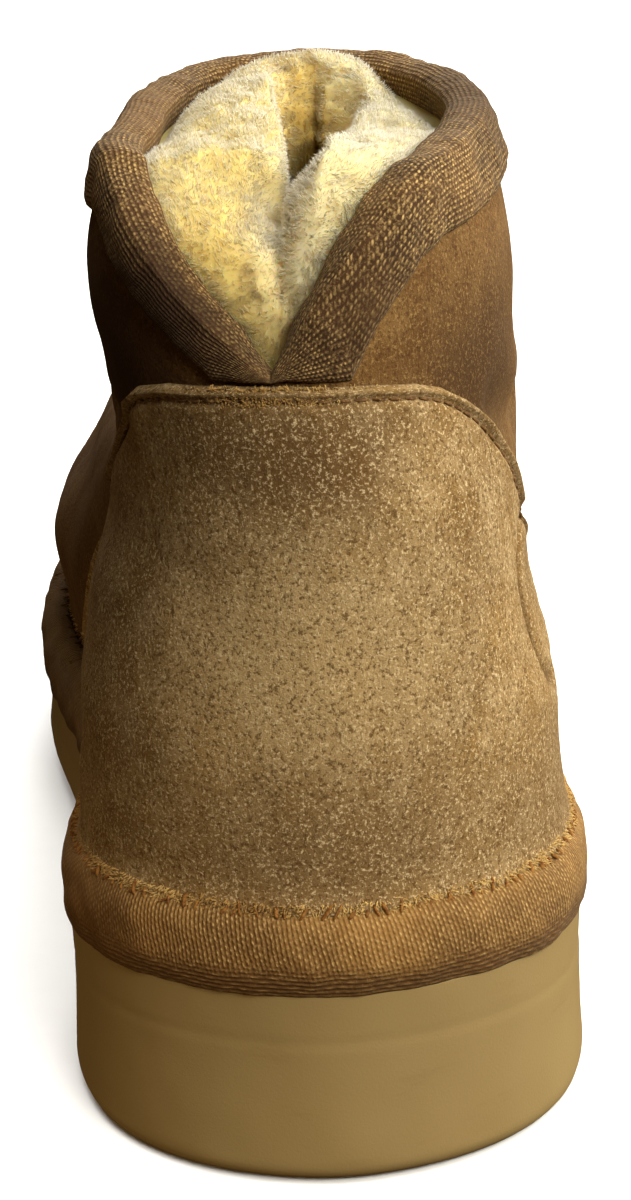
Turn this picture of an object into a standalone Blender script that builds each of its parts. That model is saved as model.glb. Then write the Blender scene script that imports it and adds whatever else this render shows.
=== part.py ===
"""Low sheepskin slipper boot on a platform sole, for the right foot.

Run it with: blender --background --python part.py, or from Blender's text editor.
Frame: metres, +Z up, +Y from heel to toe, +X to the outer (lateral) side of the foot.
The origin is at the centre of the boot's bounding box, on the ground.

Sizes below are millimetres: y from the back of the sole, z from the ground, x from the
heel's middle. part_frame() turns them into metres in the part's frame.
"""

import math

import bpy
import numpy as np

# ---------------------------------------------------------------- driving sizes, millimetres
SOLE_LENGTH = 270.0
HEEL_HALF_WIDTH = 41.2
BALL_OUTER = 46.5
BALL_INNER = 50.5
HEEL_SOLE_HEIGHT = 33.0  # foam under the rand, at the back of the heel
BALL_SOLE_HEIGHT = 21.5  # and under the ball of the foot
HEEL_EDGE_ROUND = 2.8  # rounding of the sole's bottom edge, round the heel
BALL_EDGE_ROUND = 8.0  # and round the forefoot
RAND_HEIGHT = 12.0
RAND_PROUD = 1.2  # how far the rand stands out from the sole
UPPER_INSET = 5.2  # the upper's foot, inside the sole's outline
HEEL_HEIGHT = 125.0  # bottom of the notch
SIDE_HEIGHT = 152.0  # collar beside the ankle
FRONT_HEIGHT = 154.5  # collar over the instep
NOTCH_TURN = -0.010  # the notch's bottom, as a share of the round from the heel's middle
NOTCH_HALF_ROUND = 0.155  # share of the round from there to either shoulder
NOTCH_CURVE = (1.15, 2.0)  # power of the notch's sides: nearly straight inner one, bowed outer one
FOOT_WALL = 9.0  # hide and wool together
SHAFT_WALL = 10.0
COLLAR_WALL = 5.0  # pressed flat under the binding
COUNTER_THICKNESS = 1.6
COUNTER_TOP = 124.0
BINDING_WIDTH = 10.0
BINDING_LEAN = (0.9, 1.4)  # steepest slope its width allows for: inner side, outer side
BINDING_TUCK = 0.34  # share of its width turned further in, along the notch's inner side
TUCK_AWAY = (-0.19, -0.13, -0.02, 0.0)  # from the notch's bottom: where the tuck starts and ends
BINDING_THICKNESS = 1.2
INSOLE_THICKNESS = 9.0
GAP = 0.3  # between neighbouring pieces
OVERLAY_GAP = 0.65  # under the counter and the binding, which bridge the upper's facets
SHAFT_MIDDLE_Y = 56.0  # the shaft twists about this place
EGG = 0.06  # how much fuller the shaft's oval is towards the heel
TREAD_DEPTH = 2.5
TREAD_WIDTH = 4.0
TREAD_BORDER = 13.0

COLUMNS = 56  # points round each closed ring
ORIGIN_X = -2.1
ORIGIN_Y = SOLE_LENGTH / 2
METRES_PER_MM = 0.001

# The sole's outline from above, as points of a smooth closed curve.
# columns: name, x, y
OUTLINE = (
    ("heel back", 0.0, 0.0),
    ("heel corner outer", 0.68 * HEEL_HALF_WIDTH, 11.6),
    ("heel outer", HEEL_HALF_WIDTH, 40.0),
    ("waist outer", 41.0, 100.0),
    ("ball outer", BALL_OUTER, 168.0),
    ("toe outer", 37.0, 228.0),
    ("toe corner outer", 17.0, 260.0),
    ("toe tip", -8.0, SOLE_LENGTH),
    ("toe corner inner", -32.0, 257.0),
    ("toe inner", -45.5, 226.0),
    ("ball inner", -BALL_INNER, 178.0),
    ("waist inner", -38.8, 106.0),
    ("heel inner", -HEEL_HALF_WIDTH, 42.0),
    ("heel corner inner", -0.68 * HEEL_HALF_WIDTH, 11.6),
)

# Heights of the sole's top and bottom along the foot: the arch and the toe spring.
# columns: y, top, bottom
SOLE_HEIGHTS = (
    (0.0, HEEL_SOLE_HEIGHT, 0.3),
    (14.0, 32.2, 0.0),
    (42.0, 30.0, 0.0),
    (86.0, 26.2, 0.0),
    (112.0, 23.8, 2.0),
    (138.0, 22.2, 0.0),
    (172.0, BALL_SOLE_HEIGHT, 0.0),
    (205.0, 22.6, 2.2),
    (238.0, 25.2, 6.0),
    (SOLE_LENGTH, 28.6, 11.0),
)

# The upper, ring by ring from the sole to the collar. Each ring runs from a point on the
# heel to a point on the toe, vamp or instep; "rise" is height above the sole's top.
# "foot" is the share of the sole's outline in the ring's shape, and "width" narrows it; the
# rest is an oval that is half_width wide to each side. "shift" moves the ring to the inner
# side, and "twist" turns it clockwise from above, in degrees.
# columns: name, heel_y, heel_rise, front_y, front_rise, half_width, foot, width, shift, twist
UPPER_RINGS = (
    ("feather", 5.2, 0.3, 264.8, 0.3, 35.0, 1.00, 1.00, 0.0, 0.0),
    ("rand top", 5.2, 13.0, 264.8, 13.0, 35.0, 1.00, 1.00, 0.0, 0.0),
    ("toe wall", 4.4, 24.0, 264.6, 26.0, 35.4, 1.00, 1.00, 0.7, 0.0),
    ("toe turn", 4.2, 35.0, 258.0, 39.5, 35.0, 0.97, 0.98, 0.7, 0.0),
    ("toe top", 4.6, 45.0, 241.0, 49.5, 34.5, 0.87, 0.91, 0.2, 0.0),
    ("vamp", 5.2, 54.0, 216.0, 55.5, 33.8, 0.72, 0.84, -0.6, 0.0),
    ("low instep", 5.8, 62.0, 190.5, 60.5, 33.4, 0.52, 0.82, -1.2, 0.4),
    ("instep", 6.3, 69.5, 168.0, 69.0, 33.0, 0.36, 0.83, -1.0, 1.0),
    ("high instep", 6.9, 76.5, 148.0, 80.5, 32.4, 0.17, 0.83, -0.8, 2.0),
    ("ankle", 7.4, 84.5, 131.5, 94.5, 32.2, 0.05, 0.83, -0.2, 3.3),
    ("low shaft", 7.8, 94.0, 119.0, 109.0, 32.8, 0.00, 0.83, 0.6, 4.6),
    ("shaft", 8.0, 105.0, 110.5, 120.0, 31.7, 0.00, 0.83, 1.0, 5.5),
    ("collar", 8.0, 118.5, 105.0, 129.0, 28.6, 0.00, 0.83, 0.6, 6.5),
)
# Gentle swells and hollows of the upper, each about a place on it.
# columns: name, turn, level, reach round, reach in levels, outward
SWELLS = (
    ("outer quarter", 0.17, 5.0, 0.07, 2.2, 1.5),
    ("inner heel", 0.865, 5.1, 0.06, 1.35, 5.2),
    ("inner heel foot", 0.885, 2.4, 0.05, 0.9, -2.2),
    ("inner toe shoulder", 0.63, 3.4, 0.06, 0.9, -5.0),
    ("inner ball", 0.675, 2.3, 0.05, 0.75, 2.4),
    ("inner collar", 0.752, 12.0, 0.045, 1.0, -2.6),
    ("inner front", 0.612, 12.0, 0.045, 1.2, 3.7),
    ("outer collar", 0.19, 12.0, 0.07, 1.0, -1.5),
)
LAST_FULL_LEVEL = 9  # above this level the rings dip with the notch
LEVELS_UNDER_BINDING = 2

# The heel counter's upper edge, from its inner end to its outer one.
# columns: share of the round from the heel's middle, height
COUNTER_EDGE = (
    (-0.25, 44.0),
    (-0.243, 58.0),
    (-0.235, 70.0),
    (-0.222, 82.0),
    (-0.205, 92.0),
    (-0.185, 100.0),
    (-0.165, 106.5),
    (-0.147, 112.5),
    (-0.132, 117.3),
    (-0.115, COUNTER_TOP - 3.5),
    (-0.085, COUNTER_TOP - 1.4),
    (-0.04, COUNTER_TOP - 0.2),
    (0.0, COUNTER_TOP),
    (0.05, COUNTER_TOP - 0.8),
    (0.08, COUNTER_TOP - 2.0),
    (0.097, COUNTER_TOP - 3.6),
    (0.11, 118.0),
    (0.12, 115.0),
    (0.128, 110.5),
    (0.134, 105.0),
    (0.142, 97.0),
    (0.155, 86.0),
    (0.172, 74.0),
    (0.19, 63.0),
    (0.205, 54.0),
)

# Transverse tread grooves, as distances of their middles from the heel.
TREAD_GROOVES = (18.0, 34.0, 50.0, 66.0, 142.0, 156.0, 170.0, 184.0, 198.0)

# columns: node, colour, roughness
FINISHES = {
    "outsole": ((0.38, 0.24, 0.085), 0.75),
    "rand": ((0.20, 0.10, 0.035), 0.85),
    "upper": ((0.24, 0.145, 0.06), 0.95),
    "heel_counter": ((0.27, 0.165, 0.07), 0.95),
    "collar_binding": ((0.15, 0.07, 0.025), 0.85),
    "insole": ((0.78, 0.62, 0.33), 1.0),
}


# ---------------------------------------------------------------- curves and surfaces
def smooth(rows, at, closed=False):
    """Catmull-Rom curve through rows, at a position counted in rows."""
    table = np.asarray(rows, float)
    count = len(table)
    first = math.floor(at)
    part = at - first
    if closed:
        picks = [(first + step) % count for step in (-1, 0, 1, 2)]
    else:
        picks = [min(max(first + step, 0), count - 1) for step in (-1, 0, 1, 2)]
    a, b, c, d = table[picks]
    return 0.5 * (
        2 * b
        + (c - a) * part
        + (2 * a - 5 * b + 4 * c - d) * part**2
        + (3 * b - a - 3 * c + d) * part**3
    )


def spaced(path, count):
    """count + 1 points at equal steps along a fine path."""
    steps = np.linalg.norm(np.diff(path, axis=0), axis=1)
    along = np.concatenate([[0.0], np.cumsum(steps)])
    wanted = np.linspace(0.0, along[-1], count + 1)
    return np.column_stack([np.interp(wanted, along, path[:, axis]) for axis in range(2)])


def sole_outline(inset=0.0):
    """The sole's outline: COLUMNS points from the heel's back round the outer side."""
    corners = [(x, y) for _, x, y in OUTLINE]
    tip = [name for name, _, _ in OUTLINE].index("toe tip")
    fine = 40
    path = np.array([smooth(corners, step / fine, True) for step in range(fine * len(corners) + 1)])
    outer = spaced(path[: tip * fine + 1], COLUMNS // 2)
    inner = spaced(path[tip * fine :], COLUMNS // 2)
    ring = np.vstack([outer[:-1], inner[:-1]])
    along = np.roll(ring, -1, axis=0) - np.roll(ring, 1, axis=0)
    along /= np.linalg.norm(along, axis=1)[:, None]
    outward = np.column_stack([along[:, 1], -along[:, 0]])
    return ring - inset * outward


def sole_height(y, column):
    """Height of the sole's top (column 1) or bottom (column 2) at y."""
    table = np.array(SOLE_HEIGHTS)
    at = float(np.interp(y, table[:, 0], np.arange(len(table))))
    return max(float(smooth(table[:, column], at)), 0.0)


def upper_row(level):
    return smooth([row[1:] for row in UPPER_RINGS], level)


FOOT_RING = sole_outline(UPPER_INSET)
FOOT_BACK = FOOT_RING[0, 1]
FOOT_FRONT = FOOT_RING[COLUMNS // 2, 1]


def from_heel(turn):
    """Share of the round between this column and the heel's middle, -0.5 to 0.5."""
    return (turn + 0.5) % 1.0 - 0.5


def swell(turn, level):
    """How far the upper stands out from its plain rings."""
    total = 0.0
    for _, middle_turn, middle_level, around, levels, outward in SWELLS:
        round_share = from_heel(turn - middle_turn) / around
        level_share = (level - middle_level) / levels
        total += outward * math.exp(-(round_share**2) - level_share**2)
    return total


def upper_point(turn, level):
    """A point on the upper's outside. turn runs from 0 at the heel round the outer side."""
    heel_y, heel_rise, front_y, front_rise, half_width, foot, width, shift, twist = upper_row(level)
    foot_x, foot_y = smooth(FOOT_RING, (turn % 1.0) * COLUMNS, True)
    angle = 2 * math.pi * turn
    foot_along = (foot_y - FOOT_BACK) / (FOOT_FRONT - FOOT_BACK)
    along = foot * foot_along + (1 - foot) * (1 - math.cos(angle)) / 2
    y = heel_y + along * (front_y - heel_y) - SHAFT_MIDDLE_Y
    oval_x = half_width * math.sin(angle) * (1 + EGG * math.cos(angle))
    x = foot * foot_x * width + (1 - foot) * oval_x
    outward = swell(turn, level)
    x += outward * math.sin(angle)
    y -= outward * math.cos(angle)
    cos, sin = math.cos(math.radians(twist)), math.sin(math.radians(twist))
    turned_y = SHAFT_MIDDLE_Y + y * cos - x * sin
    z = sole_height(turned_y, 1) + heel_rise + along * (front_rise - heel_rise)
    return np.array([x * cos + y * sin - shift, turned_y, z])


def upper_normal(turn, level):
    """Outward unit normal of the upper's outside."""
    step = 0.004
    top = len(UPPER_RINGS) - 1.0
    low, high = max(level - 0.15, 0.0), min(level + 0.15, top)
    across = upper_point(turn + step, level) - upper_point(turn - step, level)
    upward = upper_point(turn, high) - upper_point(turn, low)
    normal = np.cross(across, upward)
    return normal / np.linalg.norm(normal)


def off_upper(turn, level, distance):
    """A point off the upper's outside by a distance, measured outward."""
    normal = upper_normal(turn, level)
    if level < 1.5:
        normal = np.array([normal[0], normal[1], 0.0]) / math.hypot(normal[0], normal[1])
    return upper_point(turn, level) + distance * normal


def level_at_height(turn, height):
    """The level at which this column of the upper reaches a height."""
    low, high = 0.0, len(UPPER_RINGS) - 1.0
    for _ in range(30):
        middle = (low + high) / 2
        if upper_point(turn, middle)[2] < height:
            low = middle
        else:
            high = middle
    return low


def collar_height(turn):
    """Height of the collar's edge: a V notch at the heel, nearly level elsewhere."""
    away = from_heel(turn - NOTCH_TURN)
    share = min(abs(away) / NOTCH_HALF_ROUND, 1.0)
    climbed = 1 - (1 - share) ** NOTCH_CURVE[away > 0]
    notch = HEEL_HEIGHT + (SIDE_HEIGHT - HEEL_HEIGHT) * climbed
    beyond = max(abs(away) - NOTCH_HALF_ROUND, 0.0) / (0.5 - NOTCH_HALF_ROUND)
    return notch + (FRONT_HEIGHT - SIDE_HEIGHT) * beyond


def collar_slope(turn):
    """How steeply the collar's edge climbs along its own run."""
    step = 0.004
    ahead = upper_point(turn + step, level_at_height(turn + step, collar_height(turn + step)))
    behind = upper_point(turn - step, level_at_height(turn - step, collar_height(turn - step)))
    run = math.hypot(ahead[0] - behind[0], ahead[1] - behind[1])
    return abs(ahead[2] - behind[2]) / run


def counter_height(turn):
    table = np.array(COUNTER_EDGE)
    return float(np.interp(from_heel(turn), table[:, 0], table[:, 1]))


def binding_height(turn):
    """Height of the binding's lower edge: its width down from the collar, above the counter."""
    away = from_heel(turn - NOTCH_TURN)
    width = BINDING_WIDTH * (1 - BINDING_TUCK * float(np.interp(away, TUCK_AWAY, (0, 1, 1, 0))))
    lean = min(collar_slope(turn), BINDING_LEAN[away > 0])
    height = collar_height(turn) - width * math.sqrt(1 + lean**2)
    if COUNTER_EDGE[0][0] < from_heel(turn) < COUNTER_EDGE[-1][0]:
        height = max(height, counter_height(turn) + OVERLAY_GAP)
    return min(height, collar_height(turn) - 0.6)


def column_levels(turn):
    """(level, wall thickness) of each of this column's points, from the sole to the collar."""
    under = level_at_height(turn, binding_height(turn))
    collar = level_at_height(turn, collar_height(turn))
    pairs = [
        (level, float(np.interp(level, (5, 9), (FOOT_WALL, SHAFT_WALL))))
        for level in range(LAST_FULL_LEVEL + 1)
    ]
    for step in range(1, LEVELS_UNDER_BINDING + 1):
        share = step / (LEVELS_UNDER_BINDING + 1)
        pairs.append((LAST_FULL_LEVEL + share * (under - LAST_FULL_LEVEL), SHAFT_WALL))
    return [*pairs, (under, COLLAR_WALL + 0.5), (collar, COLLAR_WALL)]


# ---------------------------------------------------------------- meshes
def part_frame(points):
    moved = np.asarray(points, float) - np.array([ORIGIN_X, ORIGIN_Y, 0.0])
    return moved * METRES_PER_MM


def make_object(name, points, faces):
    """A closed body with its own material, shaded smooth."""
    mesh = bpy.data.meshes.new(name)
    mesh.from_pydata([tuple(point) for point in part_frame(points)], [], faces)
    mesh.update()
    body = bpy.data.objects.new(name, mesh)
    bpy.context.scene.collection.objects.link(body)
    colour, roughness = FINISHES[name]
    material = bpy.data.materials.new(name)
    material.use_nodes = True
    shader = material.node_tree.nodes["Principled BSDF"]
    shader.inputs["Base Color"].default_value = (*colour, 1.0)
    shader.inputs["Roughness"].default_value = roughness
    shader.inputs["Metallic"].default_value = 0.0
    mesh.materials.append(material)
    mesh.polygons.foreach_set("use_smooth", [True] * len(mesh.polygons))
    return body


def stitch(first, second, count, closed=True):
    """Quads between two rows of points, given by their first indices."""
    last = count if closed else count - 1
    return [
        (first + k, first + (k + 1) % count, second + (k + 1) % count, second + k)
        for k in range(last)
    ]


def across(first, count):
    """Quads that close a ring by joining each outer point to the inner one beside it."""
    half = count // 2
    quads = [
        (first + k, first + k + 1, first + count - k - 1, first + count - k)
        for k in range(1, half - 1)
    ]
    heel = (first, first + 1, first + count - 1)
    toe = (first + half - 1, first + half, first + half + 1)
    return [heel, *quads, toe]


def flipped(faces):
    return [tuple(reversed(face)) for face in faces]


def lofted_body(name, rings):
    """A body through closed rings, from its underside up, closed across both ends."""
    count = len(rings[0])
    faces = flipped(across(0, count))
    for step in range(len(rings) - 1):
        faces += stitch(step * count, (step + 1) * count, count)
    faces += across((len(rings) - 1) * count, count)
    return make_object(name, np.vstack(rings), faces)


def ring_body(name, rings):
    """A body whose section is the closed loop that the rings form, like a tyre."""
    count = len(rings[0])
    faces = []
    for step in range(len(rings)):
        following = (step + 1) % len(rings)
        faces += stitch(step * count, following * count, count)
    return make_object(name, np.vstack(rings), faces)


def at_heights(ring, column, rise):
    """A plan ring laid on the sole's top or bottom, raised by rise."""
    heights = [sole_height(y, column) + rise for _, y in ring]
    return np.column_stack([ring, heights])


# ---------------------------------------------------------------- sub-parts
def groove_cutter(middle):
    """A bar across the sole's underside, inside the border."""
    ring = sole_outline(TREAD_BORDER)
    half = COLUMNS // 2
    outer_x = np.interp(middle, ring[: half + 1, 1], ring[: half + 1, 0])
    inner = ring[[0, *range(COLUMNS - 1, half - 1, -1)]]
    inner_x = np.interp(middle, inner[:, 1], inner[:, 0])
    floor = sole_height(middle, 2) + TREAD_DEPTH
    low, high = middle - TREAD_WIDTH / 2, middle + TREAD_WIDTH / 2
    below = -5.0
    corners = [
        (x, y, z) for z in (below, floor) for x, y in (
            (inner_x, low), (outer_x, low), (outer_x, high), (inner_x, high)
        )
    ]
    faces = [(3, 2, 1, 0), (4, 5, 6, 7), (0, 1, 5, 4), (1, 2, 6, 5), (2, 3, 7, 6), (3, 0, 4, 7)]
    mesh = bpy.data.meshes.new("groove_cutter")
    mesh.from_pydata([tuple(point) for point in part_frame(corners)], [], faces)
    mesh.update()
    cutter = bpy.data.objects.new("groove_cutter", mesh)
    bpy.context.scene.collection.objects.link(cutter)
    cutter.hide_render = True
    cutter.display_type = "WIRE"
    return cutter


def edge_round(y):
    return float(np.interp(y, (80.0, 150.0), (HEEL_EDGE_ROUND, BALL_EDGE_ROUND)))


def sole_bottom_ring(turned):
    """The sole's rounded bottom edge, at a part of its quarter turn: 0 below, 1 at the side."""
    plain = sole_outline()
    unit = sole_outline(1.0) - plain
    angle = turned * math.pi / 2
    points = []
    for (x, y), inward in zip(plain, unit):
        radius = edge_round(y)
        inset = radius * (1 - math.sin(angle))
        rise = radius * (1 - math.cos(angle))
        points.append((x + inset * inward[0], y + inset * inward[1], sole_height(y, 2) + rise))
    return np.array(points)


def build_outsole():
    """Foam platform: rounded bottom edge, arch, toe spring and tread grooves."""
    rings = [sole_bottom_ring(turned) for turned in (0.0, 0.4, 0.7, 1.0)]
    rings += [
        at_heights(sole_outline(0.0), 1, -7.0),
        at_heights(sole_outline(0.3), 1, -0.9),
        at_heights(sole_outline(1.2), 1, 0.0),
    ]
    sole = lofted_body("outsole", rings)
    for number, middle in enumerate(TREAD_GROOVES):
        cut = sole.modifiers.new(f"groove_{number}", "BOOLEAN")
        cut.operation = "DIFFERENCE"
        cut.solver = "EXACT"
        cut.object = groove_cutter(middle)


def build_rand():
    """Padded band on the sole's edge, round the foot of the upper."""
    # columns: outward from the sole's outline, height above the sole's top
    section = (
        (GAP - UPPER_INSET, GAP),
        (0.6, GAP),
        (RAND_PROUD - 0.2, 2.2),
        (RAND_PROUD, 6.0),
        (RAND_PROUD - 0.3, 10.0),
        (0.3, RAND_HEIGHT - 0.4),
        (-1.6, RAND_HEIGHT),
        (GAP - UPPER_INSET, RAND_HEIGHT - 1.2),
    )
    rings = [at_heights(sole_outline(-outward), 1, rise) for outward, rise in section]
    ring_body("rand", rings)


def build_upper():
    """One hollow wall of hide and wool, open at the collar and underneath."""
    outside = []
    inside = []
    for column in range(COLUMNS):
        turn = column / COLUMNS
        pairs = column_levels(turn)
        outer = [upper_point(turn, level) for level, _ in pairs]
        inner = [off_upper(turn, level, -wall) for level, wall in pairs]
        for end in (0, -1):
            inner[end][2] = outer[end][2]
        outside.append(outer)
        inside.append(inner)
    rings = [list(ring) for ring in zip(*outside)]
    rings += reversed([list(ring) for ring in zip(*inside)])
    ring_body("upper", rings)


def build_heel_counter():
    """Overlay that stands proud of the upper, wrapped round the heel."""
    turns = np.linspace(COUNTER_EDGE[0][0], COUNTER_EDGE[-1][0], 47)
    rows = 12
    sheets = []
    for distance in (OVERLAY_GAP, OVERLAY_GAP + COUNTER_THICKNESS):
        sheet = []
        for turn in turns:
            foot = level_at_height(turn, sole_height(upper_point(turn, 1.0)[1], 1) + RAND_HEIGHT + 1.0)
            head = level_at_height(turn, counter_height(turn))
            for level in np.linspace(foot, head, rows):
                sheet.append(off_upper(turn, level, distance))
        sheets.append(sheet)
    count = len(turns) * rows
    faces = []
    for column in range(len(turns) - 1):
        for row in range(rows - 1):
            corner = column * rows + row
            quad = (corner, corner + rows, corner + rows + 1, corner + 1)
            faces.append(tuple(count + index for index in quad))
            faces.append(tuple(reversed(quad)))
    border = [column * rows for column in range(len(turns))]
    border += [(len(turns) - 1) * rows + row for row in range(1, rows)]
    border += [column * rows + rows - 1 for column in range(len(turns) - 2, -1, -1)]
    border += [row for row in range(rows - 2, 0, -1)]
    for index, start in enumerate(border):
        end = border[(index + 1) % len(border)]
        faces.append((start, end, count + end, count + start))
    make_object("heel_counter", np.array(sheets[0] + sheets[1]), faces)


def build_collar_binding():
    """Tape folded over the collar's edge, with a skirt outside and one inside."""
    near, far = OVERLAY_GAP, OVERLAY_GAP + BINDING_THICKNESS
    up = np.array([0.0, 0.0, 1.0])
    columns = []
    for column in range(COLUMNS):
        turn = column / COLUMNS
        (under, under_wall), (collar, collar_wall) = column_levels(turn)[-2:]
        outward = upper_normal(turn, collar)
        edge = upper_point(turn, collar)
        inner_edge = off_upper(turn, collar, -collar_wall)
        inner_edge[2] = edge[2]
        columns.append(
            (
                off_upper(turn, under, near),
                off_upper(turn, under, far),
                edge + outward * far,
                edge + outward * far * 0.4 + up * far * 0.8,
                (edge + inner_edge) / 2 + up * far,
                inner_edge - outward * far * 0.4 + up * far * 0.8,
                inner_edge - outward * far,
                off_upper(turn, under, -under_wall - far),
                off_upper(turn, under, -under_wall - near),
                inner_edge - outward * near,
                inner_edge + up * near * 1.6,
                edge + up * near * 1.6,
                edge + outward * near,
            )
        )
    ring_body("collar_binding", [list(ring) for ring in zip(*columns)])


def build_insole():
    """Sheepskin sock that lies on the sole, inside the upper."""
    inset = UPPER_INSET + FOOT_WALL + GAP + 0.3
    rings = [
        at_heights(sole_outline(inset + 0.8), 1, GAP),
        at_heights(sole_outline(inset), 1, GAP + 1.0),
        at_heights(sole_outline(inset), 1, INSOLE_THICKNESS - 1.5),
        at_heights(sole_outline(inset + 1.5), 1, INSOLE_THICKNESS),
    ]
    lofted_body("insole", rings)


def main():
    for old in list(bpy.data.objects):
        bpy.data.objects.remove(old, do_unlink=True)
    build_outsole()
    build_rand()
    build_upper()
    build_heel_counter()
    build_collar_binding()
    build_insole()


main()
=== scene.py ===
"""Looks of the low sheepskin slipper boot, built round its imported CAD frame.

Sizes are millimetres, as in the CAD source: y from the back of the sole, z from the ground,
x from the heel's middle. part_frame() turns them into the frame's metres. The outline, the
heights and the rings of the upper are the CAD source's own, so that every finer surface here
lies on its solid.
"""
import math

import bpy
import numpy as np
from mathutils import Matrix, Vector


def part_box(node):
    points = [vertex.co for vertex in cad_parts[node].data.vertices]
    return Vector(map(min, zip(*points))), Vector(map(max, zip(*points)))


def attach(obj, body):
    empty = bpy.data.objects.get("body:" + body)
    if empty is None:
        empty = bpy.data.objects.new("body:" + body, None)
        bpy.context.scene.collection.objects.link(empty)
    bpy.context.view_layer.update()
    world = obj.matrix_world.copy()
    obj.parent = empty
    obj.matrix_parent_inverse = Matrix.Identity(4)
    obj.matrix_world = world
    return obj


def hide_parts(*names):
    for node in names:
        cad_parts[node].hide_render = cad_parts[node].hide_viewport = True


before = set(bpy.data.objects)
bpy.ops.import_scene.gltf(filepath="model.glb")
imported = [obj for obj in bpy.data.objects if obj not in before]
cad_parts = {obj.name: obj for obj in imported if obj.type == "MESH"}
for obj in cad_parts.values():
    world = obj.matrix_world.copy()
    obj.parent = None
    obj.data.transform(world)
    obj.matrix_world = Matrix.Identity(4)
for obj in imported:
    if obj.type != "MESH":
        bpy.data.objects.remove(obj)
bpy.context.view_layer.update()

# ---------------------------------------------------------------- the CAD source's sizes
METRES_PER_MM = 0.001
SOLE_LENGTH = 270.0
HEEL_HALF_WIDTH = 41.2
BALL_OUTER = 46.5
BALL_INNER = 50.5
HEEL_EDGE_ROUND = 2.8
BALL_EDGE_ROUND = 8.0
RAND_HEIGHT = 12.0
UPPER_INSET = 5.2
HEEL_HEIGHT = 125.0
SIDE_HEIGHT = 152.0
FRONT_HEIGHT = 154.5
NOTCH_TURN = -0.010
NOTCH_HALF_ROUND = 0.155
NOTCH_CURVE = (1.15, 2.0)
FOOT_WALL = 9.0
SHAFT_WALL = 10.0
COLLAR_WALL = 5.0
COUNTER_THICKNESS = 1.6
COUNTER_TOP = 124.0
BINDING_WIDTH = 10.0
BINDING_LEAN = (0.9, 1.4)
BINDING_TUCK = 0.34
TUCK_AWAY = (-0.19, -0.13, -0.02, 0.0)
BINDING_THICKNESS = 1.2
OVERLAY_GAP = 0.65
SHAFT_MIDDLE_Y = 56.0
EGG = 0.06
TREAD_DEPTH = 2.5
TREAD_WIDTH = 4.0
COLUMNS = 56
ORIGIN_X = -2.1
ORIGIN_Y = -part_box("outsole")[0][1] / METRES_PER_MM

# The sole's outline from above, as points of a smooth closed curve.
# columns: name, x, y
OUTLINE = (
    ("heel back", 0.0, 0.0),
    ("heel corner outer", 0.68 * HEEL_HALF_WIDTH, 11.6),
    ("heel outer", HEEL_HALF_WIDTH, 40.0),
    ("waist outer", 41.0, 100.0),
    ("ball outer", BALL_OUTER, 168.0),
    ("toe outer", 37.0, 228.0),
    ("toe corner outer", 17.0, 260.0),
    ("toe tip", -8.0, SOLE_LENGTH),
    ("toe corner inner", -32.0, 257.0),
    ("toe inner", -45.5, 226.0),
    ("ball inner", -BALL_INNER, 178.0),
    ("waist inner", -38.8, 106.0),
    ("heel inner", -HEEL_HALF_WIDTH, 42.0),
    ("heel corner inner", -0.68 * HEEL_HALF_WIDTH, 11.6),
)
# columns: y, top, bottom
SOLE_HEIGHTS = (
    (0.0, 33.0, 0.3),
    (14.0, 32.2, 0.0),
    (42.0, 30.0, 0.0),
    (86.0, 26.2, 0.0),
    (112.0, 23.8, 2.0),
    (138.0, 22.2, 0.0),
    (172.0, 21.5, 0.0),
    (205.0, 22.6, 2.2),
    (238.0, 25.2, 6.0),
    (SOLE_LENGTH, 28.6, 11.0),
)
# columns: name, heel_y, heel_rise, front_y, front_rise, half_width, foot, width, shift, twist
UPPER_RINGS = (
    ("feather", 5.2, 0.3, 264.8, 0.3, 35.0, 1.00, 1.00, 0.0, 0.0),
    ("rand top", 5.2, 13.0, 264.8, 13.0, 35.0, 1.00, 1.00, 0.0, 0.0),
    ("toe wall", 4.4, 24.0, 264.6, 26.0, 35.4, 1.00, 1.00, 0.7, 0.0),
    ("toe turn", 4.2, 35.0, 258.0, 39.5, 35.0, 0.97, 0.98, 0.7, 0.0),
    ("toe top", 4.6, 45.0, 241.0, 49.5, 34.5, 0.87, 0.91, 0.2, 0.0),
    ("vamp", 5.2, 54.0, 216.0, 55.5, 33.8, 0.72, 0.84, -0.6, 0.0),
    ("low instep", 5.8, 62.0, 190.5, 60.5, 33.4, 0.52, 0.82, -1.2, 0.4),
    ("instep", 6.3, 69.5, 168.0, 69.0, 33.0, 0.36, 0.83, -1.0, 1.0),
    ("high instep", 6.9, 76.5, 148.0, 80.5, 32.4, 0.17, 0.83, -0.8, 2.0),
    ("ankle", 7.4, 84.5, 131.5, 94.5, 32.2, 0.05, 0.83, -0.2, 3.3),
    ("low shaft", 7.8, 94.0, 119.0, 109.0, 32.8, 0.00, 0.83, 0.6, 4.6),
    ("shaft", 8.0, 105.0, 110.5, 120.0, 31.7, 0.00, 0.83, 1.0, 5.5),
    ("collar", 8.0, 118.5, 105.0, 129.0, 28.6, 0.00, 0.83, 0.6, 6.5),
)
# columns: name, turn, level, reach round, reach in levels, outward
SWELLS = (
    ("outer quarter", 0.17, 5.0, 0.07, 2.2, 1.5),
    ("inner heel", 0.865, 5.1, 0.06, 1.35, 5.2),
    ("inner heel foot", 0.885, 2.4, 0.05, 0.9, -2.2),
    ("inner toe shoulder", 0.63, 3.4, 0.06, 0.9, -5.0),
    ("inner ball", 0.675, 2.3, 0.05, 0.75, 2.4),
    ("inner collar", 0.752, 12.0, 0.045, 1.0, -2.6),
    ("inner front", 0.612, 12.0, 0.045, 1.2, 3.7),
    ("outer collar", 0.19, 12.0, 0.07, 1.0, -1.5),
)
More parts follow.
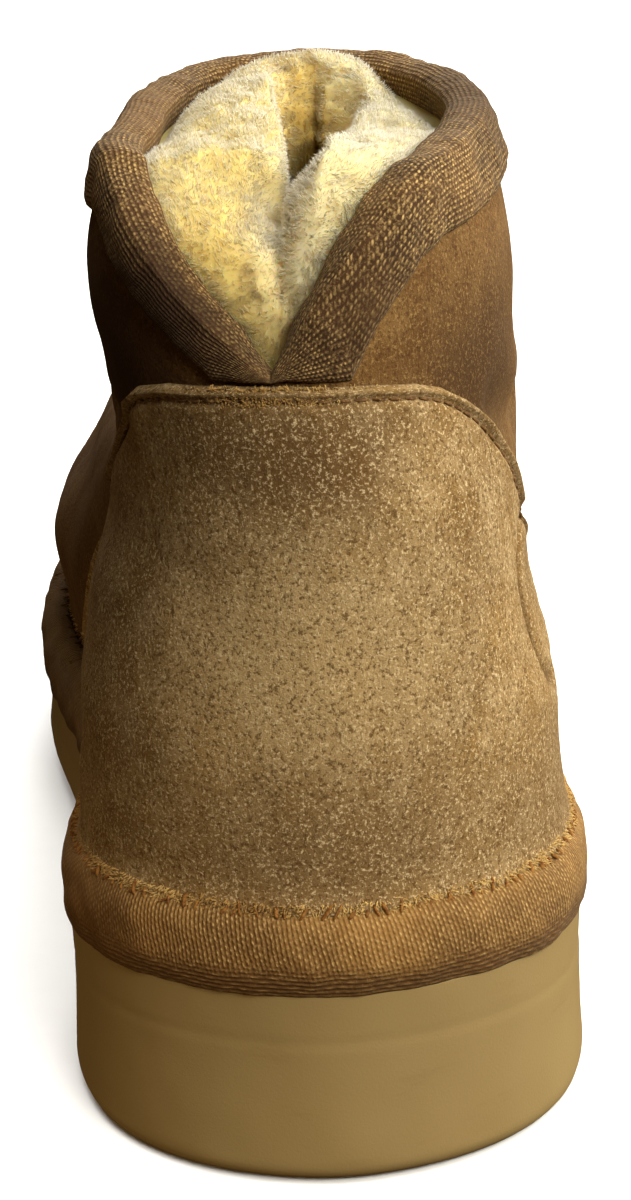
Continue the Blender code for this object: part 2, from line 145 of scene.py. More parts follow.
# columns: share of the round from the heel's middle, height
COUNTER_EDGE = (
    (-0.25, 44.0), (-0.243, 58.0), (-0.235, 70.0), (-0.222, 82.0), (-0.205, 92.0), (-0.185, 100.0),
    (-0.165, 106.5), (-0.147, 112.5), (-0.132, 117.3), (-0.115, COUNTER_TOP - 3.5),
    (-0.085, COUNTER_TOP - 1.4), (-0.04, COUNTER_TOP - 0.2), (0.0, COUNTER_TOP),
    (0.05, COUNTER_TOP - 0.8), (0.08, COUNTER_TOP - 2.0), (0.097, COUNTER_TOP - 3.6), (0.11, 118.0),
    (0.12, 115.0), (0.128, 110.5), (0.134, 105.0), (0.142, 97.0), (0.155, 86.0), (0.172, 74.0),
    (0.19, 63.0), (0.205, 54.0),
)
TREAD_GROOVES = (18.0, 34.0, 50.0, 66.0, 142.0, 156.0, 170.0, 184.0, 198.0)


# ---------------------------------------------------------------- curves and surfaces
def smooth(rows, at, closed=False):
    """Catmull-Rom curve through rows, at positions counted in rows."""
    table = np.asarray(rows, float)
    at = np.asarray(at, float)
    first = np.floor(at).astype(int)
    part = at - first
    picks = [first + step for step in (-1, 0, 1, 2)]
    last = len(table) - 1
    picks = [pick % len(table) if closed else np.clip(pick, 0, last) for pick in picks]
    a, b, c, d = (table[pick] for pick in picks)
    if table.ndim > 1:
        part = part[..., None]
    return 0.5 * (
        2 * b
        + (c - a) * part
        + (2 * a - 5 * b + 4 * c - d) * part**2
        + (3 * b - a - 3 * c + d) * part**3
    )


def matched(*arrays):
    """Arrays of decimals, all in the same shape."""
    return np.broadcast_arrays(*(np.asarray(array, float) for array in arrays))


def rows_between(first, last, count):
    """Rows that go in equal steps from the first to the last."""
    return first + np.linspace(0.0, 1.0, count)[:, None] * (last - first)


def run_along(path):
    """Length run along a path, at each of its points."""
    return np.concatenate([[0.0], np.cumsum(np.linalg.norm(np.diff(path, axis=0), axis=1))])


def sampled(at, along, values):
    """Rows of values that belong to the lengths in along, read off at other lengths."""
    return np.column_stack([np.interp(at, along, column) for column in values.T])


def spaced(path, count):
    """count + 1 points at equal steps along a fine path."""
    along = run_along(path)
    return sampled(np.linspace(0.0, along[-1], count + 1), along, path)


def outline_ring():
    """(points, outward directions) of the sole's outline, from the heel round the outer side."""
    corners = [(x, y) for _, x, y in OUTLINE]
    tip = [name for name, _, _ in OUTLINE].index("toe tip")
    fine = 40
    path = smooth(corners, np.arange(fine * len(corners) + 1) / fine, True)
    outer = spaced(path[: tip * fine + 1], COLUMNS // 2)
    inner = spaced(path[tip * fine :], COLUMNS // 2)
    ring = np.vstack([outer[:-1], inner[:-1]])
    along = np.roll(ring, -1, axis=0) - np.roll(ring, 1, axis=0)
    along /= np.linalg.norm(along, axis=1)[:, None]
    return ring, np.column_stack([along[:, 1], -along[:, 0]])


OUTLINE_POINTS, OUTLINE_OUTWARD = outline_ring()
FOOT_RING = OUTLINE_POINTS - UPPER_INSET * OUTLINE_OUTWARD
FOOT_BACK = FOOT_RING[0, 1]
FOOT_FRONT = FOOT_RING[COLUMNS // 2, 1]
RING_TABLE = np.array([row[1:] for row in UPPER_RINGS])
TOP_LEVEL = len(UPPER_RINGS) - 1.0


def outline_at(turn, outward=0.0):
    """Plan points on the sole's outline, moved outward by a distance."""
    ring = smooth(OUTLINE_POINTS, turn * COLUMNS, True)
    away = smooth(OUTLINE_OUTWARD, turn * COLUMNS, True)
    return ring + np.asarray(outward)[..., None] * away


def over_sole(ring, rise, column=1):
    """Plan points, lifted this far above the sole's top or bottom."""
    return np.column_stack([ring, sole_height(ring[:, 1], column) + rise])


def on_sole(turn, outward, rise, column=1):
    """Points this far out from the outline, and up from the sole's top or bottom."""
    return over_sole(outline_at(turn, outward), rise, column)


def sole_height(y, column):
    """Height of the sole's top (column 1) or bottom (column 2) at y."""
    table = np.array(SOLE_HEIGHTS)
    at = np.interp(y, table[:, 0], np.arange(len(table)))
    return np.maximum(smooth(table[:, column], at), 0.0)


def from_heel(turn):
    """Share of the round between this column and the heel's middle, -0.5 to 0.5."""
    return (turn + 0.5) % 1.0 - 0.5


def swell(turn, level):
    """How far the upper stands out from its plain rings."""
    total = 0.0
    for _, middle_turn, middle_level, reach, levels, outward in SWELLS:
        round_share = from_heel(turn - middle_turn) / reach
        level_share = (level - middle_level) / levels
        total = total + outward * np.exp(-(round_share**2) - level_share**2)
    return total


def upper_point(turn, level):
    """Points on the upper's outside. turn runs from 0 at the heel round the outer side."""
    turn, level = matched(turn, level)
    rows = np.moveaxis(smooth(RING_TABLE, level), -1, 0)
    heel_y, heel_rise, front_y, front_rise, half_width, foot, width, shift, twist = rows
    foot_x, foot_y = np.moveaxis(smooth(FOOT_RING, (turn % 1.0) * COLUMNS, True), -1, 0)
    angle = 2 * math.pi * turn
    foot_along = (foot_y - FOOT_BACK) / (FOOT_FRONT - FOOT_BACK)
    along = foot * foot_along + (1 - foot) * (1 - np.cos(angle)) / 2
    y = heel_y + along * (front_y - heel_y) - SHAFT_MIDDLE_Y
    oval_x = half_width * np.sin(angle) * (1 + EGG * np.cos(angle))
    x = foot * foot_x * width + (1 - foot) * oval_x
    outward = swell(turn, level)
    x = x + outward * np.sin(angle)
    y = y - outward * np.cos(angle)
    cos, sin = np.cos(np.radians(twist)), np.sin(np.radians(twist))
    turned_y = SHAFT_MIDDLE_Y + y * cos - x * sin
    z = sole_height(turned_y, 1) + heel_rise + along * (front_rise - heel_rise)
    return np.stack([x * cos + y * sin - shift, turned_y, z], axis=-1)


def ramp(value, reach):
    """0 up to 0, then a straight climb to 1 at reach."""
    return np.clip(value / reach, 0.0, 1.0)


def around(count):
    """Shares of the round at equal steps, from the heel's middle."""
    return np.arange(count) / count


def unit(vectors):
    return vectors / np.linalg.norm(vectors, axis=-1, keepdims=True)


def upper_normal(turn, level):
    """Outward unit normals of the upper's outside."""
    step = 0.004
    low, high = np.maximum(level - 0.15, 0.0), np.minimum(level + 0.15, TOP_LEVEL)
    across = upper_point(turn + step, level) - upper_point(turn - step, level)
    upward = upper_point(turn, high) - upper_point(turn, low)
    return unit(np.cross(across, upward))


def off_upper(turn, level, distance):
    """Points off the upper's outside by a distance, measured outward."""
    normal = upper_normal(turn, level)
    flat = np.asarray(level) < 1.5
    normal[..., 2] = np.where(flat, 0.0, normal[..., 2])
    return upper_point(turn, level) + np.asarray(distance)[..., None] * unit(normal)


def level_at_height(turn, height):
    """The level at which each column of the upper reaches a height."""
    turn, height = matched(turn, height)
    low, high = np.zeros(turn.shape), np.full(turn.shape, TOP_LEVEL)
    for _ in range(24):
        middle = (low + high) / 2
        below = upper_point(turn, middle)[..., 2] < height
        low = np.where(below, middle, low)
        high = np.where(below, high, middle)
    return low


def collar_height(turn):
    """Height of the collar's edge: a V notch at the heel, nearly level elsewhere."""
    away = from_heel(turn - NOTCH_TURN)
    share = np.minimum(np.abs(away) / NOTCH_HALF_ROUND, 1.0)
    climbed = 1 - (1 - share) ** np.where(away > 0, NOTCH_CURVE[1], NOTCH_CURVE[0])
    notch = HEEL_HEIGHT + (SIDE_HEIGHT - HEEL_HEIGHT) * climbed
    beyond = np.maximum(np.abs(away) - NOTCH_HALF_ROUND, 0.0) / (0.5 - NOTCH_HALF_ROUND)
    return notch + (FRONT_HEIGHT - SIDE_HEIGHT) * beyond


def collar_level(turn):
    return level_at_height(turn, collar_height(turn))


def collar_point(turn):
    return upper_point(turn, collar_level(turn))


def collar_slope(turn):
    """How steeply the collar's edge climbs along its own run."""
    step = 0.004
    along = collar_point(turn + step) - collar_point(turn - step)
    return np.abs(along[..., 2]) / np.hypot(along[..., 0], along[..., 1])


def counter_height(turn):
    table = np.array(COUNTER_EDGE)
    return np.interp(from_heel(turn), table[:, 0], table[:, 1])


def on_counter(turn):
    return (from_heel(turn) > COUNTER_EDGE[0][0]) & (from_heel(turn) < COUNTER_EDGE[-1][0])


def binding_height(turn):
    """Height of the binding's lower edge: its width down from the collar, above the counter."""
    away = from_heel(turn - NOTCH_TURN)
    width = BINDING_WIDTH * (1 - BINDING_TUCK * np.interp(away, TUCK_AWAY, (0, 1, 1, 0)))
    lean = np.minimum(collar_slope(turn), np.where(away > 0, BINDING_LEAN[1], BINDING_LEAN[0]))
    height = collar_height(turn) - width * np.sqrt(1 + lean**2)
    height = np.where(on_counter(turn), np.maximum(height, counter_height(turn) + OVERLAY_GAP), height)
    return np.minimum(height, collar_height(turn) - 0.6)


def edge_round(y):
    return np.interp(y, (80.0, 150.0), (HEEL_EDGE_ROUND, BALL_EDGE_ROUND))


def wall_at(level):
    return np.interp(level, (5, 9), (FOOT_WALL, SHAFT_WALL))


# ---------------------------------------------------------------- soft relief
def lumps(points, size, seed, octaves=3):
    """Smooth noise from -1 to 1 at points, made of sine waves in seeded directions."""
    random = np.random.default_rng(seed)
    total = np.zeros(points.shape[:-1])
    weight = 0.0
    for octave in range(octaves):
        strength = 0.55**octave
        for _ in range(6):
            direction = unit(random.normal(size=3))
            wave = 2 * math.pi * 2**octave / (size * random.uniform(0.8, 1.5))
            total += strength * np.sin(points @ direction * wave + random.uniform(0, 6.3))
        weight += strength * math.sqrt(6)
    return total / weight


def line_distance(points, path):
    """Distance of points from a polyline."""
    nearest = np.full(points.shape[:-1], 1e9)
    for start, end in zip(path[:-1], path[1:]):
        run = end - start
        share = ramp((points - start) @ run, run @ run)
        gap = points - start - share[..., None] * run
        nearest = np.minimum(nearest, np.linalg.norm(gap, axis=-1))
    return nearest


# Main creases of the suede, each a soft trough with a ridge on either side. Places are
# shares of the round and heights; bow bends the line upward in its middle.
# columns: name, from_turn, from_height, to_turn, to_height, bow, depth, width
CREASES = (
    ("ankle outer", 0.150, 112.0, 0.240, 103.0, -3.0, 1.2, 4.5),
    ("ankle inner", 0.860, 113.0, 0.770, 105.0, -3.0, 0.8, 4.5),
    ("inner quarter", 0.775, 94.0, 0.745, 50.0, 0.0, 1.2, 6.5),
    ("instep bend", 0.395, 92.0, 0.605, 90.0, -4.0, 1.6, 5.5),
    ("low instep bend", 0.380, 78.0, 0.620, 76.0, -4.0, 1.1, 5.0),
    ("toe pucker outer", 0.445, 66.0, 0.380, 58.0, 2.0, 0.7, 4.0),
    ("toe pucker inner", 0.555, 66.0, 0.620, 58.0, 2.0, 0.7, 4.0),
)


def crease_path(from_turn, from_height, to_turn, to_height, bow):
    share = np.linspace(0.0, 1.0, 13)
    turn = from_turn + share * (to_turn - from_turn)
    height = from_height + share * (to_height - from_height) + bow * np.sin(math.pi * share)
    return upper_point(turn, level_at_height(turn, height))


def crease_relief(points):
    """Outward offset that the creases give to points on the suede."""
    relief = np.zeros(points.shape[:-1])
    for _, *run, depth, width in CREASES:
        across = line_distance(points, crease_path(*run)) / width
        relief += depth * (0.55 * np.exp(-((across - 1.7) ** 2)) - np.exp(-(across**2)))
    return relief


def suede_relief(points):
    """Creases and the slack waves of the hide."""
    return crease_relief(points) + 0.22 * lumps(points, 38.0, 3) + 0.06 * lumps(points, 9.0, 5, 2)


# ---------------------------------------------------------------- meshes
def part_frame(points):
    moved = np.asarray(points, float) - np.array([ORIGIN_X, ORIGIN_Y, 0.0])
    return moved * METRES_PER_MM


def volume(points, faces):
    """Six times the signed volume inside the faces, above 0 where they face out."""
    total = 0.0
    for group in faces:
        for last in range(2, group.shape[1]):
            a, b, c = points[group[:, 0]], points[group[:, last - 1]], points[group[:, last]]
            total += np.einsum("ij,ij->", a, np.cross(b, c))
    return total


def add_piece(name, points, faces, finish, node=None, chart=None, values=None):
    """A piece of the boot. faces are arrays of corners, one array for each face size; chart
    has a 2-D place for each corner of the faces; values are named numbers for each point."""
    points = np.asarray(points, float).reshape(-1, 3)
    faces = [np.asarray(group, np.int32) for group in faces]
    if volume(points, faces) < 0:
        faces = [group[:, ::-1] for group in faces]
        chart = None if chart is None else [group[:, ::-1] for group in chart]
    corners = np.concatenate([group.ravel() for group in faces])
    sizes = np.concatenate([np.full(len(group), group.shape[1]) for group in faces])
    mesh = bpy.data.meshes.new(name)
    mesh.vertices.add(len(points))
    mesh.vertices.foreach_set("co", part_frame(points).astype(np.float32).ravel())
    mesh.loops.add(len(corners))
    mesh.loops.foreach_set("vertex_index", corners)
    mesh.polygons.add(len(sizes))
    mesh.polygons.foreach_set("loop_start", np.concatenate([[0], np.cumsum(sizes)[:-1]]))
    mesh.polygons.foreach_set("use_smooth", np.ones(len(sizes), bool))
    if chart is not None:
        layer = mesh.uv_layers.new(name="chart")
        flat = np.concatenate([group.reshape(-1, 2) for group in chart])
        layer.uv.foreach_set("vector", flat.astype(np.float32).ravel())
    for key, numbers in (values or {}).items():
        attribute = mesh.attributes.new(key, "FLOAT", "POINT")
        attribute.data.foreach_set("value", np.asarray(numbers, np.float32).ravel())
    mesh.update(calc_edges=True)
    piece = link(name, mesh)
    mesh.materials.append(finish)
    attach(piece, "root")
    if node:
        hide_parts(node)
    return piece


def band_corners(rows, columns, closed_rows=True, closed_columns=True):
    """(row, column) of each corner of a grid's quads, counted on past a closed edge."""
    last_row = rows if closed_rows else rows - 1
    last_column = columns if closed_columns else columns - 1
    row, column = np.meshgrid(np.arange(last_row), np.arange(last_column), indexing="ij")
    row, column = row.ravel(), column.ravel()
    corner_rows = np.stack([row, row, row + 1, row + 1], axis=1)
    return corner_rows, np.stack([column, column + 1, column + 1, column], axis=1)


def band_faces(rows, columns, **closed):
    """Quads of a grid, joined where it is closed."""
    corner_rows, corner_columns = band_corners(rows, columns, **closed)
    return (corner_rows % rows) * columns + corner_columns % columns


def add_band(name, grid, finish, replaced=None, chart=None, values=None):
    """A piece whose section is a closed loop, run round into a closed band."""
    return add_piece(name, grid, [band_faces(*grid.shape[:2])], finish, replaced, chart, values)


def tube_faces(count, rings, sides):
    """Quads of count tubes with this many rings, and caps at both ends."""
    ring, side = np.meshgrid(np.arange(rings - 1), np.arange(sides), indexing="ij")
    ring, side = ring.ravel(), side.ravel()
    after = (side + 1) % sides
    low, high = ring * sides, (ring + 1) * sides
    one = np.stack([low + side, low + after, high + after, high + side], axis=1)
    starts = np.arange(count) * rings * sides
    quads = (one[None] + starts[:, None, None]).reshape(-1, 4)
    first = np.arange(sides)[::-1] + starts[:, None]
    last = np.arange(sides) + (rings - 1) * sides + starts[:, None]
    return [quads, np.vstack([first, last])]


def tubes(paths, radii, outward, sides=6):
    """Points of round tubes along paths (count, rings, 3), with radii (count, rings)."""
    along = unit(np.gradient(paths, axis=1))
    side = unit(np.cross(along, outward))
    over = np.cross(side, along)
    angles = 2 * math.pi * around(sides)
    ring = side[..., None, :] * np.cos(angles)[:, None] + over[..., None, :] * np.sin(angles)[:, None]
    return paths[..., None, :] + radii[..., None, None] * ring


def grid_normals(grid):
    """Unit normals of a band of points (rows, columns, 3), closed along its rows."""
    run = np.roll(grid, -1, axis=1) - np.roll(grid, 1, axis=1)
    return unit(np.cross(run, np.gradient(grid, axis=0)))


# ---------------------------------------------------------------- finishes
VECTOR = "ShaderNodeVectorMath"
WARM_SHEEN = (1.0, 0.72, 0.42)


def is_link(value):
    return isinstance(value, bpy.types.NodeSocket)


def node(kind, inputs, tree=None, **settings):
    """A shader node with its settings, and inputs that are numbers, colours or links. It goes
    into the tree that its links come from, if no tree is given."""
    tree = tree or next(value.id_data for value in inputs.values() if is_link(value))
    made = tree.nodes.new(kind)
    for key, value in settings.items():
        setattr(made, key, value)
    for key, value in inputs.items():
        if is_link(value):
            tree.links.new(value, made.inputs[key])
        else:
            made.inputs[key].default_value = value
    return made


def millimetres(tree):
    """The piece's own coordinates, counted in millimetres."""
    place = node("ShaderNodeTexCoord", {}, tree).outputs["Object"]
    return node(VECTOR, {0: place, 1: (1000.0,) * 3}, operation="MULTIPLY").outputs[0]


def noise(place, size, detail=2.0, roughness=0.5, stretch=None):
    """Noise from 0 to 1 whose features are about this many millimetres across."""
    if stretch is not None:
        place = node("ShaderNodeMapping", {"Vector": place, "Scale": stretch}).outputs[0]
    inputs = {"Vector": place, "Scale": 0.5 / size, "Detail": detail, "Roughness": roughness}
    return node("ShaderNodeTexNoise", inputs).outputs["Fac"]


def between(value, low, high):
    """0 where value is under low, 1 over high, with a soft step from one to the other."""
    inputs = {"Value": value, "From Min": low, "From Max": high}
    return node("ShaderNodeMapRange", inputs, interpolation_type="SMOOTHSTEP").outputs[0]


def opaque(paint):
    """A colour of three numbers with its alpha, or a link as it is."""
    return (*paint, 1.0) if isinstance(paint, tuple) else paint


def blend(share, first, second):
    """The first colour where share is 0, the second where it is 1."""
    inputs = {0: share, 6: opaque(first), 7: opaque(second)}
    return node("ShaderNodeMix", inputs, data_type="RGBA").outputs[2]


def maths(operation, *numbers):
    return node("ShaderNodeMath", dict(enumerate(numbers)), operation=operation).outputs[0]


def times(first, second):
    return maths("MULTIPLY", first, second)


def plus(first, second):
    return maths("ADD", first, second)


def bumped(height, distance, strength, below=None):
    """A normal bent by a height, whose full range is distance millimetres."""
    inputs = {"Height": height, "Distance": distance * METRES_PER_MM, "Strength": strength}
    if below is not None:
        inputs["Normal"] = below
    return node("ShaderNodeBump", inputs).outputs["Normal"]


def new_finish(name, roughness, sheen=0.0, sheen_tint=(1.0,) * 3, sheen_roughness=0.5, more=None):
    """A material with these settings on its shader, and more by their names in it."""
    material = bpy.data.materials.new(name)
    material.use_nodes = True
    settings = {
        "Roughness": roughness,
        "Specular IOR Level": 0.2,
        "Sheen Weight": sheen,
        "Sheen Tint": opaque(sheen_tint),
        "Sheen Roughness": sheen_roughness,
        **(more or {}),
    }
    for key, value in settings.items():
        shader_input(material.node_tree, key).default_value = value
    return material, material.node_tree


def shader_input(tree, key):
    return tree.nodes["Principled BSDF"].inputs[key]


def feed(key, value):
    """Links a value to an input of its tree's shader."""
    value.id_data.links.new(value, shader_input(value.id_data, key))


def dress(base, normal):
    """Gives a finish its colour and its relief."""
    feed("Base Color", base)
    feed("Normal", normal)


def part_place(middle):
    """A place in the CAD source's millimetres, counted from the frame's origin."""
    return (middle[0] - ORIGIN_X, middle[1] - ORIGIN_Y, middle[2])


def distance_from(place, middle, reach):
    """Distance from a place in the CAD source's millimetres, in reaches along each axis."""
    offset = node(VECTOR, {0: place, 1: part_place(middle)}, operation="SUBTRACT").outputs[0]
    share = node(VECTOR, {0: offset, 1: reach}, operation="DIVIDE").outputs[0]
    return node(VECTOR, {0: share}, operation="LENGTH").outputs["Value"]


def patched(place, base, patches, shown=1.0):
    """Base with patches (middle, reach, strength, colour) laid over it where it is shown, each
    fading out towards its reach."""
    for middle, reach, strength, shade in patches:
        near = between(distance_from(place, middle, reach), 1.0, 0.1)
        base = blend(times(times(near, shown), strength), base, shade)
    return base


MARK_TURN, MARK_HEIGHT = 0.113, 79.5  # a bare pressed oval on the outer side
MARK_HALF_LENGTH, MARK_HALF_HEIGHT = 10.5, 13.5
MARK_LINE, MARK_PAD = 1.3, 0.4  # how deep its line is pressed, and how far its middle stands out
MARK_MIDDLE = upper_point(MARK_TURN, float(level_at_height(MARK_TURN, MARK_HEIGHT)))


def oval_line(place):
    """1 along the pressed oval's line, 0 away from it."""
    reach = (40.0, MARK_HALF_LENGTH, MARK_HALF_HEIGHT)
    length = distance_from(place, MARK_MIDDLE, reach)
    return times(between(length, 0.88, 0.98), between(length, 1.12, 1.02))


def suede_finish(name, deep, body, light, grain=1.0, patches=(), painted_shading=(), painted_oval_shade=False):
    """Brushed hide: fine flecks of raised nap and dark pores on a softly clouded body, with
    patches (middle, reach, strength, colour) under the flecks, and patches of painted shade
    and the pressed oval's line of painted shade over them."""
    material, tree = new_finish(name, 0.95, 0.02, WARM_SHEEN, 0.35)
    place = millimetres(tree)
    cloud = between(noise(place, 13.0, 4.0, 0.6), 0.30, 0.72)
    brushed = between(noise(place, 2.6, 4.0, 0.7, (1.0, 1.0, 0.6)), 0.34, 0.70)
    fleck = noise(place, 0.26, 2.0, 0.8)
    pore = noise(place, 0.36, 3.0, 0.75)
    base = blend(times(cloud, 0.55), body, deep)
    base = blend(times(brushed, 0.30), base, light)
    base = patched(place, base, patches)
    base = blend(times(between(fleck, 0.50, 0.70), 0.9 * grain), base, light)
    base = blend(times(between(pore, 0.50, 0.36), 0.85 * grain), base, deep)
    base = patched(place, base, painted_shading)
    # painted shade along the pressed oval's line
    if painted_oval_shade:
        base = blend(times(oval_line(place), 0.75), base, deep)
    nap = bumped(fleck, 0.35, 0.5)
    dress(base, bumped(pore, 0.45, 0.5, nap))
    return material


def foam_finish(dark, light, rubbed):
    """Moulded foam: even tan with faint clouding, fine skin texture and rubbed marks."""
    material, tree = new_finish("foam", 0.62)
    place = millimetres(tree)
    cloud = between(noise(place, 22.0, 3.0, 0.55), 0.3, 0.7)
    scuff = between(noise(place, 3.0, 4.0, 0.7, (0.35, 0.35, 1.6)), 0.56, 0.74)
    base = blend(times(scuff, 0.22), blend(cloud, dark, light), rubbed)
    rough = node("ShaderNodeMapRange", {"Value": cloud, "To Min": 0.55, "To Max": 0.72})
    feed("Roughness", rough.outputs[0])
    dress(base, bumped(noise(place, 0.22, 2.0, 0.6), 0.12, 0.35))
    return material


def chart_place(tree):
    """Millimetres along and across a tape, from its chart."""
    chart = node("ShaderNodeUVMap", {}, tree, uv_map="chart").outputs[0]
    parts = node("ShaderNodeSeparateXYZ", {0: chart})
    return parts.outputs[0], parts.outputs[1]


def strayed(value, place, size, amount):
    """A value moved by noise, up to about half of amount either way from its middle."""
    return plus(value, times(noise(place, size, 2.0), amount))


def wave(value, pitch):
    """A wave from 0 to 1 that repeats at each pitch."""
    cosine = maths("COSINE", times(value, 2 * math.pi / pitch))
    return maths("MULTIPLY_ADD", cosine, 0.5, 0.5)


def woven(place, rib_at, stitch_at, rib, stitch):
    """Height of a ribbed tape: each rib is a row of stitches, half a stitch on from the last."""
    rib_at = strayed(rib_at, place, 2.2, 0.7)
    stitch_at = strayed(stitch_at, place, 1.6, 1.1)
    number = maths("FLOOR", plus(maths("DIVIDE", rib_at, rib), 0.5))
    shifted = plus(stitch_at, times(number, 0.5 * stitch))
    along_rib = maths("MULTIPLY_ADD", wave(shifted, stitch), 0.6, 0.4)
    return times(wave(rib_at, rib), along_rib)


def tape_fluff(place):
    """Where short fibres stand out of a tape."""
    return between(noise(place, 0.30, 2.0, 0.7), 0.45, 0.75)


def tape_colours(place, thread, dark, body, light):
    """A tape's colour by its threads: some catch the light, and others are rubbed or dull."""
    worn = between(noise(place, 7.0, 3.0, 0.6), 0.35, 0.7)
    catch = between(noise(place, 0.7, 3.0, 0.7), 0.30, 0.70)
    lit = times(between(thread, 0.30, 0.85), catch)
    lit = maths("MAXIMUM", lit, times(tape_fluff(place), 0.45))
    return blend(lit, blend(worn, dark, body), light)


def dress_tape(place, thread, base):
    """Gives a tape its colour and the relief of its threads and fluff."""
    uneven = bumped(tape_fluff(place), 0.15, 0.4)
    dress(base, bumped(thread, 0.32, 0.8, uneven))


def collar_tape_finish(dark, body, light, face_painted_shade, painted_shading):
    """Ribbed tape whose ribs run along the collar."""
    material, tree = new_finish("collar_tape", 0.85, 0.1, WARM_SHEEN, 0.4)
    place = millimetres(tree)
    along, across = chart_place(tree)
    thread = woven(place, across, along, BINDING_RIB, BINDING_STITCH)
    # painted shade on the tape's outer face, below where it turns over
    face = between(across, ROLL_FROM + 5.5, ROLL_FROM + 2.0)
    base = tape_colours(place, thread, dark, body, light)
    base = patched(place, patched(place, base, face_painted_shade, face), painted_shading)
    dress_tape(place, thread, base)
    return material


def faded(above, fade, full):
    """A colour that is full above, and turned down below, its blue the most."""
    low = (fade * full[0], 0.88 * fade * full[1], 0.70 * fade * full[2])
    return blend(above, low, full)


def rand_tape_finish(dark, body, light, painted_shading):
    """Tape with short upright ribs above and lengthwise threads along its lower edge."""
    material, tree = new_finish("rand_tape", 0.85, 0.1, WARM_SHEEN, 0.4)
    place = millimetres(tree)
    along, across = chart_place(tree)
    leaning = plus(along, times(across, 0.22))
    upright = woven(place, leaning, across, RAND_RIB, RAND_STITCH)
    lengthwise = woven(place, across, along, RAND_RIB, 2.6 * RAND_STITCH)
    above = between(strayed(across, place, 4.0, 3.0), RAND_TURN_LOW, RAND_TURN_HIGH)
    inputs = {0: above, 2: lengthwise, 3: upright}
    thread = node("ShaderNodeMix", inputs, data_type="FLOAT").outputs[0]
    # painted shade: the tape is darker, and warmer, below where its ribs turn upright
    paints = [faded(above, *pair) for pair in ((0.6, dark), (0.30, body), (0.42, light))]
    base = tape_colours(place, thread, *paints)
    dress_tape(place, thread, patched(place, base, painted_shading))
    return material


WOOL_GLOW = 0.85  # share of the light that goes into the wool and comes out beside
WOOL_DEPTH = 0.0028  # how far it goes, in metres


def wool_finish(name, root, body, tip, glow=WOOL_GLOW, painted_shading=()):
    """Fleece: deeper yellow at the roots, cream at the tips, with clouds of both, creamier on
    the outer side, and lighter in its patches of painted light."""
    depth = {
        "Subsurface Weight": glow,
        "Subsurface Radius": (1.0, 0.75, 0.45),
        "Subsurface Scale": WOOL_DEPTH,
    }
    material, tree = new_finish(name, 1.0, 0.1, (1.0, 0.9, 0.65), 0.5, depth)
    place = millimetres(tree)
    share = node("ShaderNodeAttribute", {}, tree, attribute_name="tip").outputs["Fac"]
    across = node("ShaderNodeSeparateXYZ", {0: place}).outputs["X"]
    outer = times(between(across, -8.0, 10.0), 0.40)
    cloud = between(plus(noise(place, 14.0, 2.0, 0.5), outer), 0.34, 0.86)
    base = blend(cloud, body, tip)
    # root colour where the tip share is low: at the roots, and as painted shade where the fleece lies
    # deep
    base = blend(between(share, 0.55, 0.0), base, root)
    curl = bumped(noise(place, 0.9, 3.0, 0.7), 0.2, 0.5)
    dress(patched(place, base, painted_shading), curl)
    return material


def thread_finish(name, dark, light, painted_shading=()):
    """Sewing thread: two plies, slightly fuzzy, darker in its patches of painted shade."""
    material, tree = new_finish(name, 0.8, 0.12, (1.0, 0.8, 0.5), 0.4)
    place = millimetres(tree)
    ply = noise(place, 0.35, 2.0, 0.7)
    base = blend(between(ply, 0.3, 0.7), dark, light)
    dress(patched(place, base, painted_shading), bumped(ply, 0.2, 0.5))
    return material


SUEDE = suede_finish(
    "suede",
    (0.050, 0.018, 0.003),
    (0.130, 0.062, 0.015),
    (0.30, 0.18, 0.060),
    0.8,
    # painted shade low on the shaft's outer side, just above the overlay's edge
    (((30.0, 20.0, 118.0), (26.0, 54.0, 26.0), 0.95, (0.042, 0.018, 0.003)),),
    (
        # painted shade: the inner side of the shaft under the collar, the inner vamp, and the shaft's
        # outer side low above the overlay
        ((-34.0, 28.0, 121.0), (28.0, 58.0, 38.0), 0.92, (0.026, 0.008, 0.001)),
        ((-44.0, 110.0, 62.0), (28.0, 100.0, 46.0), 0.6, (0.052, 0.025, 0.003)),
        ((28.0, 18.0, 114.0), (22.0, 44.0, 22.0), 0.40, (0.050, 0.022, 0.004)),
    ),
)
COUNTER_SUEDE = suede_finish(
    "counter_suede",
    (0.095, 0.046, 0.010),
    (0.255, 0.148, 0.045),
    (0.60, 0.46, 0.25),
    1.0,
    (
        ((-4.0, 6.0, 113.0), (30.0, 30.0, 18.0), 0.88, (0.105, 0.052, 0.014)),
        ((14.0, 6.0, 108.0), (9.0, 20.0, 12.0), 0.35, (0.42, 0.28, 0.115)),
        # painted shade on the overlay's inner side, turned away from the lamps
        ((-38.0, 26.0, 80.0), (24.0, 60.0, 60.0), 0.40, (0.105, 0.052, 0.009)),
        ((0.0, 6.0, 46.0), (34.0, 30.0, 10.0), 0.25, (0.17, 0.095, 0.032)),
        # painted highlight: the overlay's middle made lighter
        ((-4.0, 2.0, 84.0), (34.0, 30.0, 28.0), 0.75, (0.42, 0.29, 0.125)),
        ((38.0, 40.0, 48.0), (26.0, 60.0, 30.0), 0.75, (0.17, 0.100, 0.036)),
        ((0.0, 6.0, 54.0), (38.0, 30.0, 20.0), 0.85, (0.17, 0.100, 0.036)),
    ),
    painted_oval_shade=True,
)
FOAM = foam_finish((0.245, 0.168, 0.062), (0.272, 0.190, 0.074), (0.20, 0.12, 0.040))
RAND_RIB = 0.75  # pitch of the rand tape's ribs
RAND_STITCH = 1.1
RAND_TURN_LOW, RAND_TURN_HIGH = 5.0, 9.5  # where its ribs turn upright, up from its lower edge
ROLL_FROM = 11.5  # where the collar tape starts to turn over, across it
BINDING_RIB = 0.8  # pitch of the collar tape's ribs
